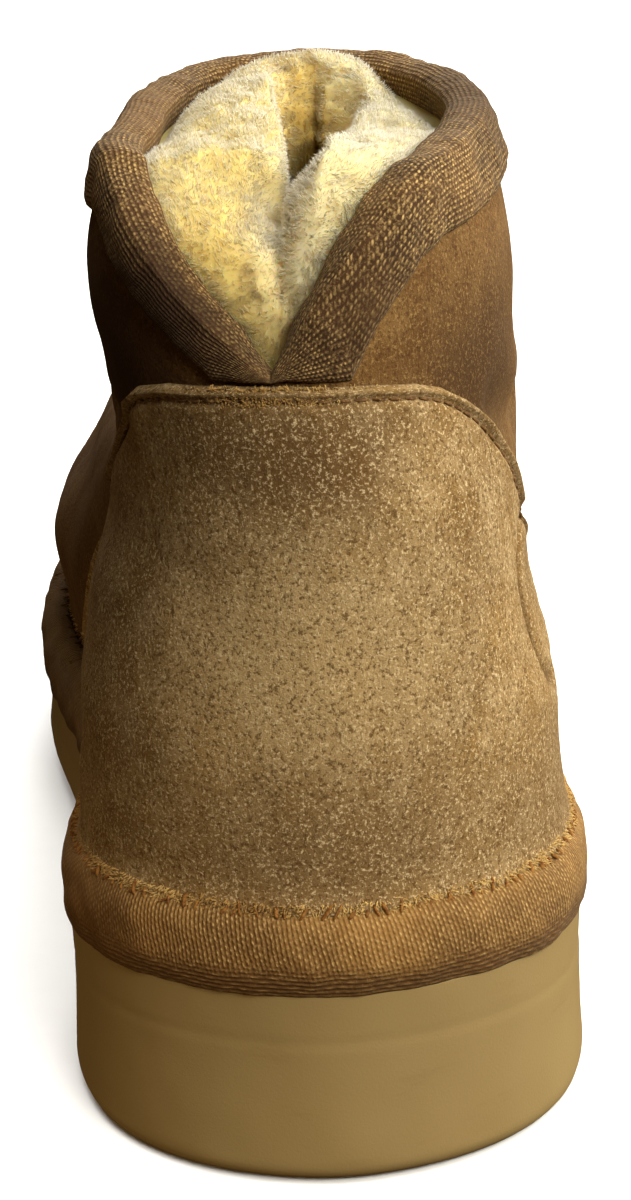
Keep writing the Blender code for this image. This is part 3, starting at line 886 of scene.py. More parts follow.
BINDING_STITCH = 0.95  # pitch of the stitches along each rib
# painted shade on the inner forefoot, which faces away from the lamps
INNER_FOREFOOT_SHADE = (((-50.0, 150.0, 40.0), (36.0, 110.0, 34.0), 0.85, (0.050, 0.025, 0.005)),)
RAND_TAPE = rand_tape_finish(
    (0.135, 0.064, 0.015),
    (0.250, 0.126, 0.032),
    (0.50, 0.32, 0.118),
    # painted shade: the inner forefoot, and the inner side of the heel
    (*INNER_FOREFOOT_SHADE, ((-40.0, 22.0, 38.0), (20.0, 46.0, 24.0), 0.60, (0.12, 0.048, 0.005))),
)
COLLAR_TAPE = collar_tape_finish(
    (0.034, 0.013, 0.003),
    (0.095, 0.043, 0.012),
    (0.58, 0.38, 0.14),
    # painted shade on the outer faces of the notch's arms, the inner arm the darkest
    (
        ((-24.0, 14.0, 132.0), (26.0, 36.0, 26.0), 0.95, (0.024, 0.009, 0.002)),
        ((9.0, 7.0, 132.0), (18.0, 17.0, 19.0), 0.60, (0.045, 0.019, 0.005)),
    ),
    # painted shade on the far rim of the collar, darker and duller there
    (
        ((32.0, 66.0, 156.0), (22.0, 36.0, 16.0), 0.80, (0.045, 0.020, 0.005)),
        ((-26.0, 70.0, 158.0), (18.0, 40.0, 16.0), 0.65, (0.150, 0.078, 0.024)),
        ((0.0, 88.0, 158.0), (22.0, 16.0, 16.0), 0.60, (0.090, 0.045, 0.012)),
    ),
)
WOOL = wool_finish(
    "wool",
    (0.58, 0.385, 0.072),
    (0.70, 0.545, 0.17),
    (0.705, 0.61, 0.315),
    # painted light: a brighter golden patch low on the inner side of the notch, and cream over the
    # shaded valley where both sides meet
    painted_shading=(
        ((-14.0, 18.0, 144.0), (15.0, 22.0, 20.0), 0.55, (0.95, 0.75, 0.24)),
        ((-2.8, 24.0, 140.0), (10.0, 18.0, 20.0), 0.9, (0.94, 0.85, 0.57)),
    ),
)
EDGE_FUZZ = wool_finish(
    "edge_fuzz", (0.22, 0.11, 0.022), (0.38, 0.21, 0.055), (0.58, 0.38, 0.125), 0.0
)
THREAD = thread_finish("thread", (0.065, 0.024, 0.006), (0.20, 0.105, 0.034))
# painted shade on the stitches of the inner forefoot
EDGE_THREAD = thread_finish(
    "edge_thread", (0.11, 0.036, 0.005), (0.30, 0.135, 0.026), INNER_FOREFOOT_SHADE
)


# ---------------------------------------------------------------- sole
SOLE_COLUMNS = 420
SOLE_CORNER_ROWS = 9
SOLE_WALL_ROWS = 39
SOLE_LANES = 36  # of faces across its top and its underside
SOLE_LINE_DROP = 9.5  # the moulded line, below the sole's top
SOLE_LINE_DEPTH = 0.11
SOLE_STEP = 0.08  # how far the wall above the line stands back
SOLE_WAIST = 0.5  # how far the middle of the wall draws in
SOLE_WALL_DROP = 0.9  # from the sole's top down to the top of its wall
SOLE_TOP_EDGE = ((-0.9, -0.3), (-1.4, 0.0))  # its last rings: outward, and up from its top
TREAD_MARGIN = 0.27  # share of the underside's half width that has no tread, at each side
CHEVRON_PITCH = 7.0
CHEVRON_DEPTH = 0.7
CHEVRON_LEAN = 0.35  # how much further back it lies for each mm away from the middle
CHEVRON_HALF_WIDTH = 1.4


def tread_depth(x, y, share):
    """How far the underside is cut away: main grooves as in the CAD, and shallow chevrons."""
    inside = ramp(np.minimum(share, 1 - share) * 2 - TREAD_MARGIN, 0.05)
    depth = np.zeros(x.shape)
    for middle in TREAD_GROOVES:
        wall = ramp(TREAD_WIDTH / 2 + 0.5 - np.abs(y - middle), 0.8)
        depth = np.maximum(depth, TREAD_DEPTH * wall)
    chevron = (y + CHEVRON_LEAN * np.abs(x)) % CHEVRON_PITCH
    shallow = ramp(CHEVRON_HALF_WIDTH - np.abs(chevron - CHEVRON_PITCH / 2), 0.6) * CHEVRON_DEPTH
    return np.maximum(depth, shallow) * inside


def build_sole():
    """Foam platform with its moulded line, rounded edges and treaded underside."""
    turn = around(SOLE_COLUMNS)
    plain = outline_at(turn)
    radius = edge_round(plain[:, 1])
    bottom, top = sole_height(plain[:, 1], 2), sole_height(plain[:, 1], 1)
    rings = []
    for angle in np.linspace(0.0, math.pi / 2, SOLE_CORNER_ROWS):
        inset, rise = radius * (1 - math.sin(angle)), radius * (1 - math.cos(angle))
        rings.append(on_sole(turn, -inset, rise, 2))
    wall_low, wall_high = bottom + radius, top - SOLE_WALL_DROP
    for share in np.linspace(0.0, 1.0, SOLE_WALL_ROWS + 1)[1:]:
        height = wall_low + share * (wall_high - wall_low)
        drop = top - height
        line = SOLE_LINE_DEPTH * np.exp(-(((drop - SOLE_LINE_DROP) / 0.8) ** 2))
        above = SOLE_STEP / (1 + np.exp((drop - SOLE_LINE_DROP) / 0.7))
        waist = SOLE_WAIST * math.sin(math.pi * share)
        rings.append(np.column_stack([outline_at(turn, -line - above - waist), height]))
    for outward, rise in SOLE_TOP_EDGE:
        rings.append(np.column_stack([outline_at(turn, outward), top + rise]))
    rings = np.array(rings)
    wall = slice(SOLE_CORNER_ROWS, -2)
    rings[wall] += 0.12 * lumps(rings[wall], 26.0, 11)[..., None] * grid_normals(rings)[wall]
    count = SOLE_COLUMNS
    half = count // 2
    across = np.linspace(0.0, 1.0, SOLE_LANES + 1)[1:-1]
    middle = []
    for ring, column in ((rings[0], 2), (rings[-1], 1)):
        outer, inner = ring[1:half], ring[: half : -1]
        lines = outer[:, None] + across[:, None] * (inner - outer)[:, None]
        lines[..., 2] = sole_height(lines[..., 1], column)
        if column == 2:
            lines[..., 2] += tread_depth(lines[..., 0], lines[..., 1], across[None, :])
        middle.append(lines)
    quads, tips = [band_faces(len(rings), count, closed_rows=False)], []
    inside_size = (half - 1) * (SOLE_LANES - 1)
    for number, start in ((0, 0), (1, (len(rings) - 1) * count)):
        inside = len(rings) * count + number * inside_size + np.arange(inside_size)
        inside = inside.reshape(half - 1, SOLE_LANES - 1)
        outer = start + np.arange(1, half)[:, None]
        inner = start + np.arange(count - 1, half, -1)[:, None]
        sheet = np.hstack([outer, inside, inner])
        cap = np.stack([sheet[:-1, :-1], sheet[:-1, 1:], sheet[1:, 1:], sheet[1:, :-1]], axis=-1)
        heel = np.stack([sheet[0, 1:], sheet[0, :-1], np.full(SOLE_LANES, start)], axis=-1)
        toe = np.stack([sheet[-1, :-1], sheet[-1, 1:], np.full(SOLE_LANES, start + half)], axis=-1)
        if number == 0:
            cap, heel, toe = cap[..., ::-1], heel[..., ::-1], toe[..., ::-1]
        quads.append(cap.reshape(-1, 4)[:, ::-1])
        tips += [heel[:, ::-1], toe[:, ::-1]]
    points = np.vstack([rings.reshape(-1, 3)] + [lines.reshape(-1, 3) for lines in middle])
    add_piece("foam_sole", points, [np.vstack(quads), np.vstack(tips)], FOAM, "outsole")


# ---------------------------------------------------------------- rand
RAND_COLUMNS = 900
RAND_OUTER_ROWS = 20
# The roll's section, up its outside from where it tucks in against the sole.
# columns: outward from the sole's outline, height above the sole's top
RAND_SECTION = (
    (-1.3, -1.2),
    (0.1, -1.5),
    (0.6, -0.4),
    (0.8, 2.2),
    (0.8, 4.8),
    (0.6, 7.4),
    (0.0, 9.5),
    (-1.1, 11.0),
    (-2.8, 11.6),
    (-4.5, 11.3),
)


def tape_chart(grid, pitch):
    """Chart of a closed band: millimetres along it, in whole pitches, and across it."""
    middle = grid[len(grid) // 2]
    run = run_along(np.vstack([middle, middle[:1]]))
    run *= round(run[-1] / pitch) * pitch / run[-1]
    steps = np.linalg.norm(np.diff(grid[:, ::20], axis=0), axis=2).mean(axis=1)
    across = np.concatenate([[0.0], np.cumsum(steps)])
    corner_rows, corner_columns = band_corners(*grid.shape[:2])
    return [np.stack([run[corner_columns], np.append(across, across[-1])[corner_rows]], axis=-1)]


def build_rand():
    """Padded roll, covered with ribbed tape, on the edge of the sole."""
    turn = around(RAND_COLUMNS)
    along = np.linspace(0.0, len(RAND_SECTION) - 1.0, RAND_OUTER_ROWS)
    section = [*smooth(RAND_SECTION, along), (-4.8, RAND_HEIGHT / 2), (-4.7, 0.2)]
    rings = np.array([on_sole(turn, outward, rise) for outward, rise in section])
    outer = rings[:RAND_OUTER_ROWS]
    row = np.arange(RAND_OUTER_ROWS)
    fade = ramp(np.minimum(row, RAND_OUTER_ROWS - 1 - row), 3.0)[:, None]
    puff = 0.3 * lumps(outer, 24.0, 21) + 0.2 * lumps(outer, 7.0, 22, 2)
    normals = grid_normals(rings)[:RAND_OUTER_ROWS]
    outer += (fade * puff)[..., None] * normals
    roll = add_band("rand_roll", rings, RAND_TAPE, "rand", tape_chart(rings, RAND_RIB))


# ---------------------------------------------------------------- upper
UPPER_COLUMNS = 360
UPPER_ROWS = 100
UPPER_BACK_ROWS = 12
UPPER_FROM = 0.35  # level at which it starts, behind the rand
HIDE = 1.8  # thickness of the hide without its wool
RELIEF_BELOW = 4.0  # how far under the collar its relief starts
RELIEF_FADE = 10.0  # and how much further down it is full
RAND_LEVEL = 1.0  # level of the ring at the rand's top


def build_upper():
    """The suede side of the sheepskin, from behind the rand to under the binding."""
    turn = around(UPPER_COLUMNS)
    collar = collar_level(turn)
    levels = rows_between(UPPER_FROM, collar, UPPER_ROWS)
    outer = upper_point(turn, levels)
    under_binding = ramp(collar_height(turn) - outer[..., 2] - RELIEF_BELOW, RELIEF_FADE)
    above_rand = ramp(levels - RAND_LEVEL, 0.6)
    relief = suede_relief(outer) * under_binding * above_rand
    outer = outer + relief[..., None] * upper_normal(turn, levels)
    inner = off_upper(turn, rows_between(collar, UPPER_FROM, UPPER_BACK_ROWS), -HIDE)
    inner[0, :, 2] = outer[-1, :, 2]
    add_band("suede_upper", np.concatenate([outer, inner]), SUEDE, "upper")


# ---------------------------------------------------------------- heel counter
COUNTER_COLUMNS = 260
COUNTER_ROWS = 124
COUNTER_BACK_ROWS = 10
COUNTER_FACE = OVERLAY_GAP + COUNTER_THICKNESS  # how far its face stands off the upper
STITCH_INSET = 1.9  # from the edge in to the stitches
LIP = 0.55  # how far the edge is raised outside its stitches
GROOVE = 0.75  # how deep the groove under the stitches is
EDGE_DRAW = 1.4  # how far the cut edge itself draws in
FOOT_RISE = RAND_HEIGHT - 0.9  # the overlay's foot, above the sole's top
FOOT_FLARE = 1.5  # how far the foot swells out over the rand
FLARE_HEIGHT = 2.4


def counter_levels(turns, rows):
    """Levels of the overlay's rows, from its foot up to its edge."""
    foot_point = upper_point(turns, RAND_LEVEL)
    foot = level_at_height(turns, sole_height(foot_point[:, 1], 1) + FOOT_RISE)
    return rows_between(foot, level_at_height(turns, counter_height(turns)), rows)


def counter_edge_path():
    """The counter's edge, from its inner lower end over the top to the outer one."""
    turns = np.linspace(COUNTER_EDGE[0][0], COUNTER_EDGE[-1][0], 181)
    levels = level_at_height(turns, counter_height(turns))
    return upper_point(turns, levels), upper_normal(turns, levels)


def ridge(distance, middle, width):
    """1 at a middle distance, falling off smoothly to either side."""
    return np.exp(-(((distance - middle) / width) ** 2))


def build_counter():
    """Suede overlay round the heel, with a raised lip and a sewn groove along its edge."""
    turns = np.linspace(COUNTER_EDGE[0][0], COUNTER_EDGE[-1][0], COUNTER_COLUMNS)
    levels = counter_levels(turns, COUNTER_ROWS)
    base = upper_point(turns, levels)
    from_edge = line_distance(base, counter_edge_path()[0][::2])
    edge = LIP * ridge(from_edge, 0.6, 0.6) - GROOVE * ridge(from_edge, STITCH_INSET, 0.5)
    edge -= EDGE_DRAW * ridge(from_edge, 0.0, 0.3)
    flare = FOOT_FLARE * np.exp(-((base[..., 2] - base[0, :, 2]) / FLARE_HEIGHT))
    relief = suede_relief(base) + 0.07 * lumps(base, 3.2, 31, 2) + edge - pressed_oval(base) + flare
    outer = base + (COUNTER_FACE + relief)[..., None] * upper_normal(turns, levels)
    back_levels = counter_levels(turns, COUNTER_BACK_ROWS)[::-1]
    inner = off_upper(turns, back_levels, OVERLAY_GAP)
    inner += suede_relief(inner)[..., None] * 0.9 * upper_normal(turns, back_levels)
    grid = np.concatenate([outer, inner])
    quads = band_faces(*grid.shape[:2], closed_columns=False)
    first, last = (side_cap(len(grid), COUNTER_ROWS, column) for column in (0, COUNTER_COLUMNS - 1))
    caps = np.vstack([first, last[:, ::-1]])
    add_piece("heel_overlay", grid, [quads, caps], COUNTER_SUEDE, "heel_counter")


def side_cap(rows, outer_rows, column):
    """Triangles that close one end of a folded sheet: its outer rows to its inner ones."""
    outer = list(range(outer_rows))
    inner = list(range(rows - 1, outer_rows - 1, -1))
    triangles = []
    a = b = 0
    while a < len(outer) - 1 or b < len(inner) - 1:
        if b == len(inner) - 1 or (a < len(outer) - 1 and a / len(outer) <= b / len(inner)):
            triangles.append((outer[a], inner[b], outer[a + 1]))
            a += 1
        else:
            triangles.append((outer[a], inner[b], inner[b + 1]))
            b += 1
    return np.array(triangles) * COUNTER_COLUMNS + column


def pressed_oval(points):
    """Depth of the plain oval pressed into the overlay's outer side, full within its line."""
    ring = np.sqrt(
        ((points[..., 1] - MARK_MIDDLE[1]) / MARK_HALF_LENGTH) ** 2
        + ((points[..., 2] - MARK_MIDDLE[2]) / MARK_HALF_HEIGHT) ** 2
    )
    line = MARK_LINE * ridge(ring, 1.0, 0.09)
    pad = MARK_PAD * ramp(0.95 - ring, 0.2)
    return np.where(points[..., 0] > 0, line - pad, 0.0)


# ---------------------------------------------------------------- binding
BINDING_COLUMNS = 640
BINDING_OUTER_ROWS = 24
TAPE_LIFT = 0.25  # gap between the suede and the tape over it
TAPE_FACE = TAPE_LIFT + BINDING_THICKNESS
TAPE_SWELL = 0.5  # how full its outer side stands in the middle
NOTCH_PINCH = 0.12  # share of the round from the notch to where the fold is open
NOTCH_FOLD = 0.25  # how wide the fold is in the notch, in collar walls
OPEN_FOLD = 0.55  # and how much wider where it is open


def build_binding():
    """Tape folded over the collar's edge, round and full on top, ribbed along its run."""
    turn = around(BINDING_COLUMNS)
    collar = collar_level(turn)
    under = level_at_height(turn, binding_height(turn))
    edge = upper_point(turn, collar)
    inner_edge = off_upper(turn, collar, -COLLAR_WALL)
    inner_edge[:, 2] = edge[:, 2]
    away = from_heel(turn - NOTCH_TURN)
    pinch = ramp(np.abs(away), NOTCH_PINCH) ** 0.7
    inner_side = ramp(-away, 0.03) * (1 - pinch)
    fold = NOTCH_FOLD + OPEN_FOLD * pinch + 0.6 * inner_side
    inner_edge = edge + (inner_edge - edge) * fold[:, None]
    share = np.linspace(0.0, 1.0, BINDING_OUTER_ROWS)[:, None]
    full = TAPE_SWELL * np.sin(math.pi * share) ** 0.7
    edge_rise = 0.25 + 0.75 * ramp(share, 0.12) ** 0.5
    skirt_levels = rows_between(under, collar, BINDING_OUTER_ROWS)
    skirt = off_upper(turn, skirt_levels, TAPE_FACE * edge_rise + full)
    middle = (edge + inner_edge) / 2
    half = (edge - inner_edge) / 2 + upper_normal(turn, collar) * TAPE_FACE
    top = np.array([0.0, 0.0, 1.0]) * TAPE_FACE * (0.45 + 0.45 * pinch[:, None])
    roll = [
        middle + half * math.cos(angle) + top * math.sin(angle)
        for angle in np.linspace(0.0, math.pi, 18)[1:]
    ]
    inward = fold * COLLAR_WALL
    inner_skirt = off_upper(turn, rows_between(collar, under, 6)[1:], -inward - TAPE_FACE)
    back_levels = rows_between(under, collar, 4)
    back_inner = off_upper(turn, back_levels, -inward - TAPE_LIFT)
    back_outer = off_upper(turn, back_levels[::-1], TAPE_LIFT / 2)
    shown = np.concatenate([skirt, roll])
    puff = 0.35 * lumps(shown, 17.0, 41) + 0.16 * lumps(shown, 5.0, 42, 2)
    shown = shown + puff[..., None] * grid_normals(shown)
    grid = np.concatenate([shown, inner_skirt, back_inner, back_outer])
    chart = tape_chart(grid, BINDING_STITCH)
    add_band("collar_tape", grid, COLLAR_TAPE, "collar_binding", chart)


# ---------------------------------------------------------------- fleece
# The fleece all round the collar: where it starts (above the collar's edge, and in from the
# upper's outside), how far in its fullest part comes, and how high over the collar it stands.
# columns: share of the round from the heel by the outer side, rise, start_in, full, lift
FLEECE_ROUND = (
    (0.000, -0.8, 5.2, 19.0, 15.0),
    (0.035, -0.8, 5.4, 22.0, 12.5),
    (0.080, -0.8, 5.8, 26.0, 7.5),
    (0.125, -0.8, 6.2, 30.0, 2.5),
    (0.180, -1.0, 6.2, 31.0, 0.6),
    (0.225, -2.0, 6.2, 29.0, -1.0),
    (0.255, -3.5, 6.4, 23.0, -5.0),
    (0.290, -6.5, 6.6, 25.0, -3.0),
    (0.350, -7.5, 6.6, 23.0, -3.5),
    (0.400, -4.5, 6.2, 17.0, -1.4),
    (0.440, -1.0, 5.0, 14.0, 0.2),
    (0.500, -0.3, 4.5, 13.0, 0.6),
    (0.560, -0.5, 4.5, 15.0, 0.4),
    (0.600, -3.0, 6.0, 21.0, 0.0),
    (0.650, -7.0, 6.6, 27.0, 0.2),
    (0.730, -6.0, 6.6, 31.0, -0.4),
    (0.800, -3.0, 6.2, 31.0, -1.0),
    (0.870, -1.0, 6.2, 30.0, 0.6),
    (0.920, -0.8, 5.8, 26.0, 6.0),
    (0.965, -0.8, 5.4, 22.0, 12.0),
    (1.000, -0.8, 5.2, 19.0, 15.0),
)
DOME_SHARE = 0.45  # of the fleece's rows, from the collar to its fullest line
DOME_DEPTH = 12.0  # fullest line, below the collar
DOME_POWER = 0.75
CLEFT = ((6.0, -8.5), (24.0, -2.2), (45.0, -2.2), (105.0, -4.0))  # y, x of where both sides meet
CLEFT_FROM = 26.0  # y from which the outer side draws back from it
CLEFT_OPENING = 0.17  # how much it draws back for each mm towards the front
CLEFT_LIFT = 0.45  # and for each mm of height
CLEFT_FLOOR = 140.0  # from this height up
CLEFT_SOFT = 2.0  # how near to the cleft the fleece starts to be held back
CLEFT_HALF = 0.25  # half of the narrowest gap
CLEFT_FADE = (95.0, 15.0)  # no parting below the first height, all of it the second further up
FLEECE_COLUMNS = 400
FLEECE_ROWS = 140
FLEECE_DEEPEST = 1.4  # level at which the fleece meets the insole
FLEECE_BACK_ROWS = 10
FLEECE_BACK = HIDE + 2.0  # its hidden back, in from the upper's outside
FLEECE_THINS = 0.35  # share of its lower part over which it thins to the wall's own wool
FLEECE_JOINS = 0.12  # and over which the dome runs into the wall


def fleece_point(turn, share):
    """Points on the fleece's face; share runs from 0 at the collar down to 1."""
    turn, share = matched(turn, share)
    table = np.array(FLEECE_ROUND)
    position = np.interp(turn % 1.0, table[:, 0], np.arange(len(table)))
    rise, start_in, full, lift = np.moveaxis(smooth(table[:, 1:], position), -1, 0)
    edge_z = collar_height(turn)
    reach = DOME_DEPTH + lift
    start = np.clip((rise + DOME_DEPTH) / reach, 0.05, 0.98) ** (1 / DOME_POWER)
    first = np.arcsin(start)
    angle = first + np.minimum(share / DOME_SHARE, 1.0) * (math.pi - first)
    cosine = np.cos(angle)
    out = np.sign(cosine) * np.abs(cosine) ** DOME_POWER
    half = (full - start_in) / (1 + np.cos(first) ** DOME_POWER)
    inward = full - half - half * out
    height = edge_z - DOME_DEPTH + reach * np.sin(angle) ** DOME_POWER
    lower = ramp(share - DOME_SHARE, 1 - DOME_SHARE)
    dome_level = level_at_height(turn, edge_z - DOME_DEPTH)
    level = dome_level + lower**1.5 * (FLEECE_DEEPEST - dome_level)
    deep = 1 - np.exp(-((lower / FLEECE_THINS) ** 2))
    thickness = inward * (1 - deep) + wall_at(level) * deep
    wall_place = upper_point(turn, level)
    uneven = lumps(wall_place, 17.0, 51, 2) * ramp(share, 0.1) * (1 - deep)
    normal = upper_normal(turn, dome_level)
    flat = unit(normal * np.array([1.0, 1.0, 0.0]))
    below = share > DOME_SHARE
    base = upper_point(turn, level_at_height(turn, edge_z - DOME_DEPTH * 0.3))
    base[..., 2] = 0.0
    dome = base - (inward + uneven)[..., None] * flat
    dome[..., 2] = height
    wall = off_upper(turn, level, -(thickness + uneven))
    near = off_upper(turn, dome_level, -(full + uneven))
    joined = base - (full + uneven)[..., None] * flat
    joined[..., 2] = edge_z - DOME_DEPTH
    gap = (joined - near) * np.exp(-lower / FLEECE_JOINS)[..., None]
    points = np.where(below[..., None], wall + gap, dome)
    curl = 0.7 * lumps(points, 7.0, 52, 2) + 0.35 * lumps(points, 2.6, 53, 2)
    curl = (curl * ramp(share, 0.04))[..., None]
    return parted(points + curl * (-flat * 0.7 + [0.0, 0.0, 0.7]), turn)


def parted(points, turn):
    """Keeps the fleece of each side of the shaft on its own side of the cleft."""
    away = np.abs(from_heel(turn))
    line = np.array(CLEFT)
    side = np.where(from_heel(turn) > 0, 1.0, -1.0)
    middle = np.interp(points[..., 1], line[:, 0], line[:, 1])
    opening = CLEFT_OPENING * np.maximum(points[..., 1] - CLEFT_FROM, 0.0)
    opening = opening + np.clip(CLEFT_LIFT * (points[..., 2] - CLEFT_FLOOR), 0.0, 4.5)
    opening = np.where(side > 0, opening, 0.0)
    gap = (points[..., 0] - middle) * side - CLEFT_HALF - opening
    held = CLEFT_SOFT / (1 + np.clip(CLEFT_SOFT - gap, 0.0, 60.0) / 1.5)
    kept = np.where(gap > CLEFT_SOFT, gap, held)
    weight = ramp(away - 0.02, 0.05) * ramp(0.43 - away, 0.05)
    weight *= ramp(points[..., 2] - CLEFT_FADE[0], CLEFT_FADE[1])
    moved = points.copy()
    moved[..., 0] += (kept - gap) * side * weight
    return moved


def fleece_unshaded(share, turn):
    """Painted shade: 1 where the fleece is in the open, less where it is deep or at the shaft's inner
    front, where the root colour is painted.
    """
    far = ramp(np.abs(from_heel(turn)) - 0.36, 0.08)
    far = np.where(from_heel(turn) > 0, 0.25 * far, far)
    return ramp(0.62 - share, 0.30) * (1 - 0.6 * far)


def build_fleece_base():
    """The body of the fleece, from the binding down to the insole."""
    turn = around(FLEECE_COLUMNS)
    share = np.linspace(0.0, 1.0, FLEECE_ROWS)[:, None]
    face = fleece_point(turn, share)
    collar = level_at_height(turn, collar_height(turn) - 2.0)
    back_levels = rows_between(FLEECE_DEEPEST, collar, FLEECE_BACK_ROWS)
    grid = np.concatenate([face, off_upper(turn, back_levels, -FLEECE_BACK)])
    tip = np.zeros(grid.shape[:2])
    # painted shade: the root colour where the fleece lies deep
    tip[:FLEECE_ROWS] = 0.55 * fleece_unshaded(share, turn)
    add_band("fleece_base", grid, WOOL, values={"tip": tip})


def add_strands(name, random, root, outward, length, thickness, finish, swirl, spread, shown=1.0):
    """Bent fibres that stand out from their roots and lean with their neighbours."""
    count = len(root)
    lean = np.stack([lumps(root, swirl, 400 + axis, 2) for axis in range(3)], axis=-1)
    direction = unit(outward + spread * lean + 0.4 * spread * random.normal(size=root.shape))
    short = np.einsum("ij,ij->i", direction, outward)
    direction = unit(direction + np.maximum(0.4 - short, 0.0)[:, None] * outward * 2)
    side = unit(np.cross(direction, random.normal(size=root.shape)))
    bend = random.uniform(0.1, 0.45, count)[:, None]
    knee = root + direction * (0.55 * length)[:, None]
    tip = knee + (direction * (1 - bend) + side * bend) * (0.55 * length)[:, None]
    path = np.stack([root - 0.5 * direction, knee], axis=1)
    radius = thickness * np.array([1.0, 0.8]) * random.uniform(0.7, 1.3, count)[:, None]
    rings = tubes(path, radius, np.repeat(side[:, None], 2, axis=1), sides=3)
    points = np.concatenate([rings.reshape(count, 6, 3), tip[:, None]], axis=1)
    start = np.arange(count)[:, None] * 7
    quads = np.vstack([start + [k, (k + 1) % 3, 3 + (k + 1) % 3, 3 + k] for k in range(3)])
    ends = np.vstack([start + [3 + k, 3 + (k + 1) % 3, 6] for k in range(3)] + [start + [2, 1, 0]])
    # shown lowers the tip share: painted shade, as root colour, on fibres deep in the fleece
    share = np.array([0.5, 0.5, 0.5, 0.6, 0.6, 0.6, 0.75]) * np.broadcast_to(shown, count)[:, None]
    add_piece(name, points, [quads, ends], finish, values={"tip": share})


def build_fleece_pile(name, seed, strands, low, high):
    """Fibres spread evenly over the fleece between two shares of its depth."""
    random = np.random.default_rng(seed)
    turns = np.linspace(0.0, 1.0, 241)
    shares = np.linspace(low, high, 41)
    net = fleece_point(turns[None, :], shares[:, None])
    down, along = net[1:, :-1] - net[:-1, :-1], net[:-1, 1:] - net[:-1, :-1]
    area = np.linalg.norm(np.cross(down, along), axis=-1).ravel()
    cell = random.choice(len(area), strands, p=area / area.sum())
    row, column = np.divmod(cell, len(turns) - 1)
    turn = turns[column] + random.uniform(size=strands) * (turns[1] - turns[0])
    share = shares[row] + random.uniform(size=strands) * (shares[1] - shares[0])
    root = fleece_point(turn, share)
    step = 0.003
    along = fleece_point(turn + step, share) - fleece_point(turn - step, share)
    across = fleece_point(turn, share + step) - fleece_point(turn, np.maximum(share - step, 0.0))
    inward = unit(np.cross(along, across) + 1e-9)
    length = random.uniform(0.5, 1.2, strands)
    # painted shade on fibres that lie deep
    shown = fleece_unshaded(share, turn)
    add_strands(name, random, root, inward, length, 0.07, WOOL, 6.0, 0.45, shown)


SOCK_COLUMNS, SOCK_ROWS = 200, 26
SOCK_TOP, SOCK_SHOULDER, SOCK_FOOT = 8.2, 5.0, 0.3  # heights over the sole's top
SOCK_GAP = 0.6  # between its edge and the wall of wool


def build_insole():
    """Fleece sock on the sole, lumpy and brushed."""
    turn = around(SOCK_COLUMNS)
    edge = outline_at(turn, -(UPPER_INSET + FOOT_WALL + SOCK_GAP))
    centre_line = np.column_stack([-0.03 * edge[:, 1], np.clip(edge[:, 1], 40.0, 235.0)])
    rows = [(0.0, SOCK_FOOT), (0.0, SOCK_SHOULDER)]
    rows += [(share, SOCK_TOP) for share in np.linspace(0.02, 1.0, SOCK_ROWS)]
    grid = np.array([over_sole(edge + share * (centre_line - edge), rise) for share, rise in rows])
    grid[2:, :, 2] += 0.9 * lumps(grid[2:], 11.0, 61) + 0.5 * lumps(grid[2:], 4.0, 62, 2)
    grid[-1, :, 2] = sole_height(grid[-1, :, 1], 1) + SOCK_TOP
    columns, half = SOCK_COLUMNS, SOCK_COLUMNS // 2
    top = (len(grid) - 1) * columns
    lanes = np.arange(1, half - 1)
    lid = np.stack([lanes, lanes + 1, columns - lanes - 1, columns - lanes], axis=1) + top
    floor = np.stack([columns - lanes, columns - lanes - 1, lanes + 1, lanes], axis=1)
    quads = np.vstack([band_faces(len(grid), columns, closed_rows=False), lid, floor])
    ends = [(0, 1, columns - 1), (half - 1, half, half + 1)]
    ends = [tuple(top + corner for corner in end) for end in ends] + [end[::-1] for end in ends]
    tip = np.full(grid.shape[:2], 0.5)
    add_piece("insole_fleece", grid, [quads, ends], WOOL, "insole", values={"tip": tip})


# ---------------------------------------------------------------- sewing
def add_stitches(name, starts, ends, outward, radius, arch, finish):
    """A row of stitches, each a short arched tube from its start to its end."""
    t = np.linspace(0.0, 1.0, 5)
    lift = np.sin(math.pi * t)
    paths = starts[:, None] + (ends - starts)[:, None] * t[:, None]
    paths = paths + outward[:, None] * (arch * lift - 0.1)[:, None]
    shape = np.array([0.6, 1.0, 1.05, 1.0, 0.6])
    radii = np.broadcast_to(shape * radius, paths.shape[:2])
    points = tubes(paths, radii, np.repeat(outward[:, None], 5, axis=1))
    add_piece(name, points, tube_faces(len(starts), 5, 6), finish)


EDGE_STITCH = 2.1  # pitch of the row that joins suede and rand
EDGE_FUZZ_COUNT, OVERLAY_FUZZ_COUNT = 5200, 800
COUNTER_STITCH, COUNTER_STITCH_GAP = 2.6, 0.55  # pitch, and how much of it is bare
SEAM_INSET = 3.0  # from the sole's outline in to the seam over the rand


def seam_points(turn, rise):
    """Places on the suede this high over the overlay's foot, and the way out from them."""
    level = level_at_height(turn, on_sole(turn, -SEAM_INSET, FOOT_RISE)[:, 2] + rise)
    flare = FOOT_FLARE * np.exp(-np.maximum(rise, 0.0) / FLARE_HEIGHT)
    proud = np.where(on_counter(turn), COUNTER_FACE + flare, 0.0)
    return off_upper(turn, level, proud), upper_normal(turn, level)


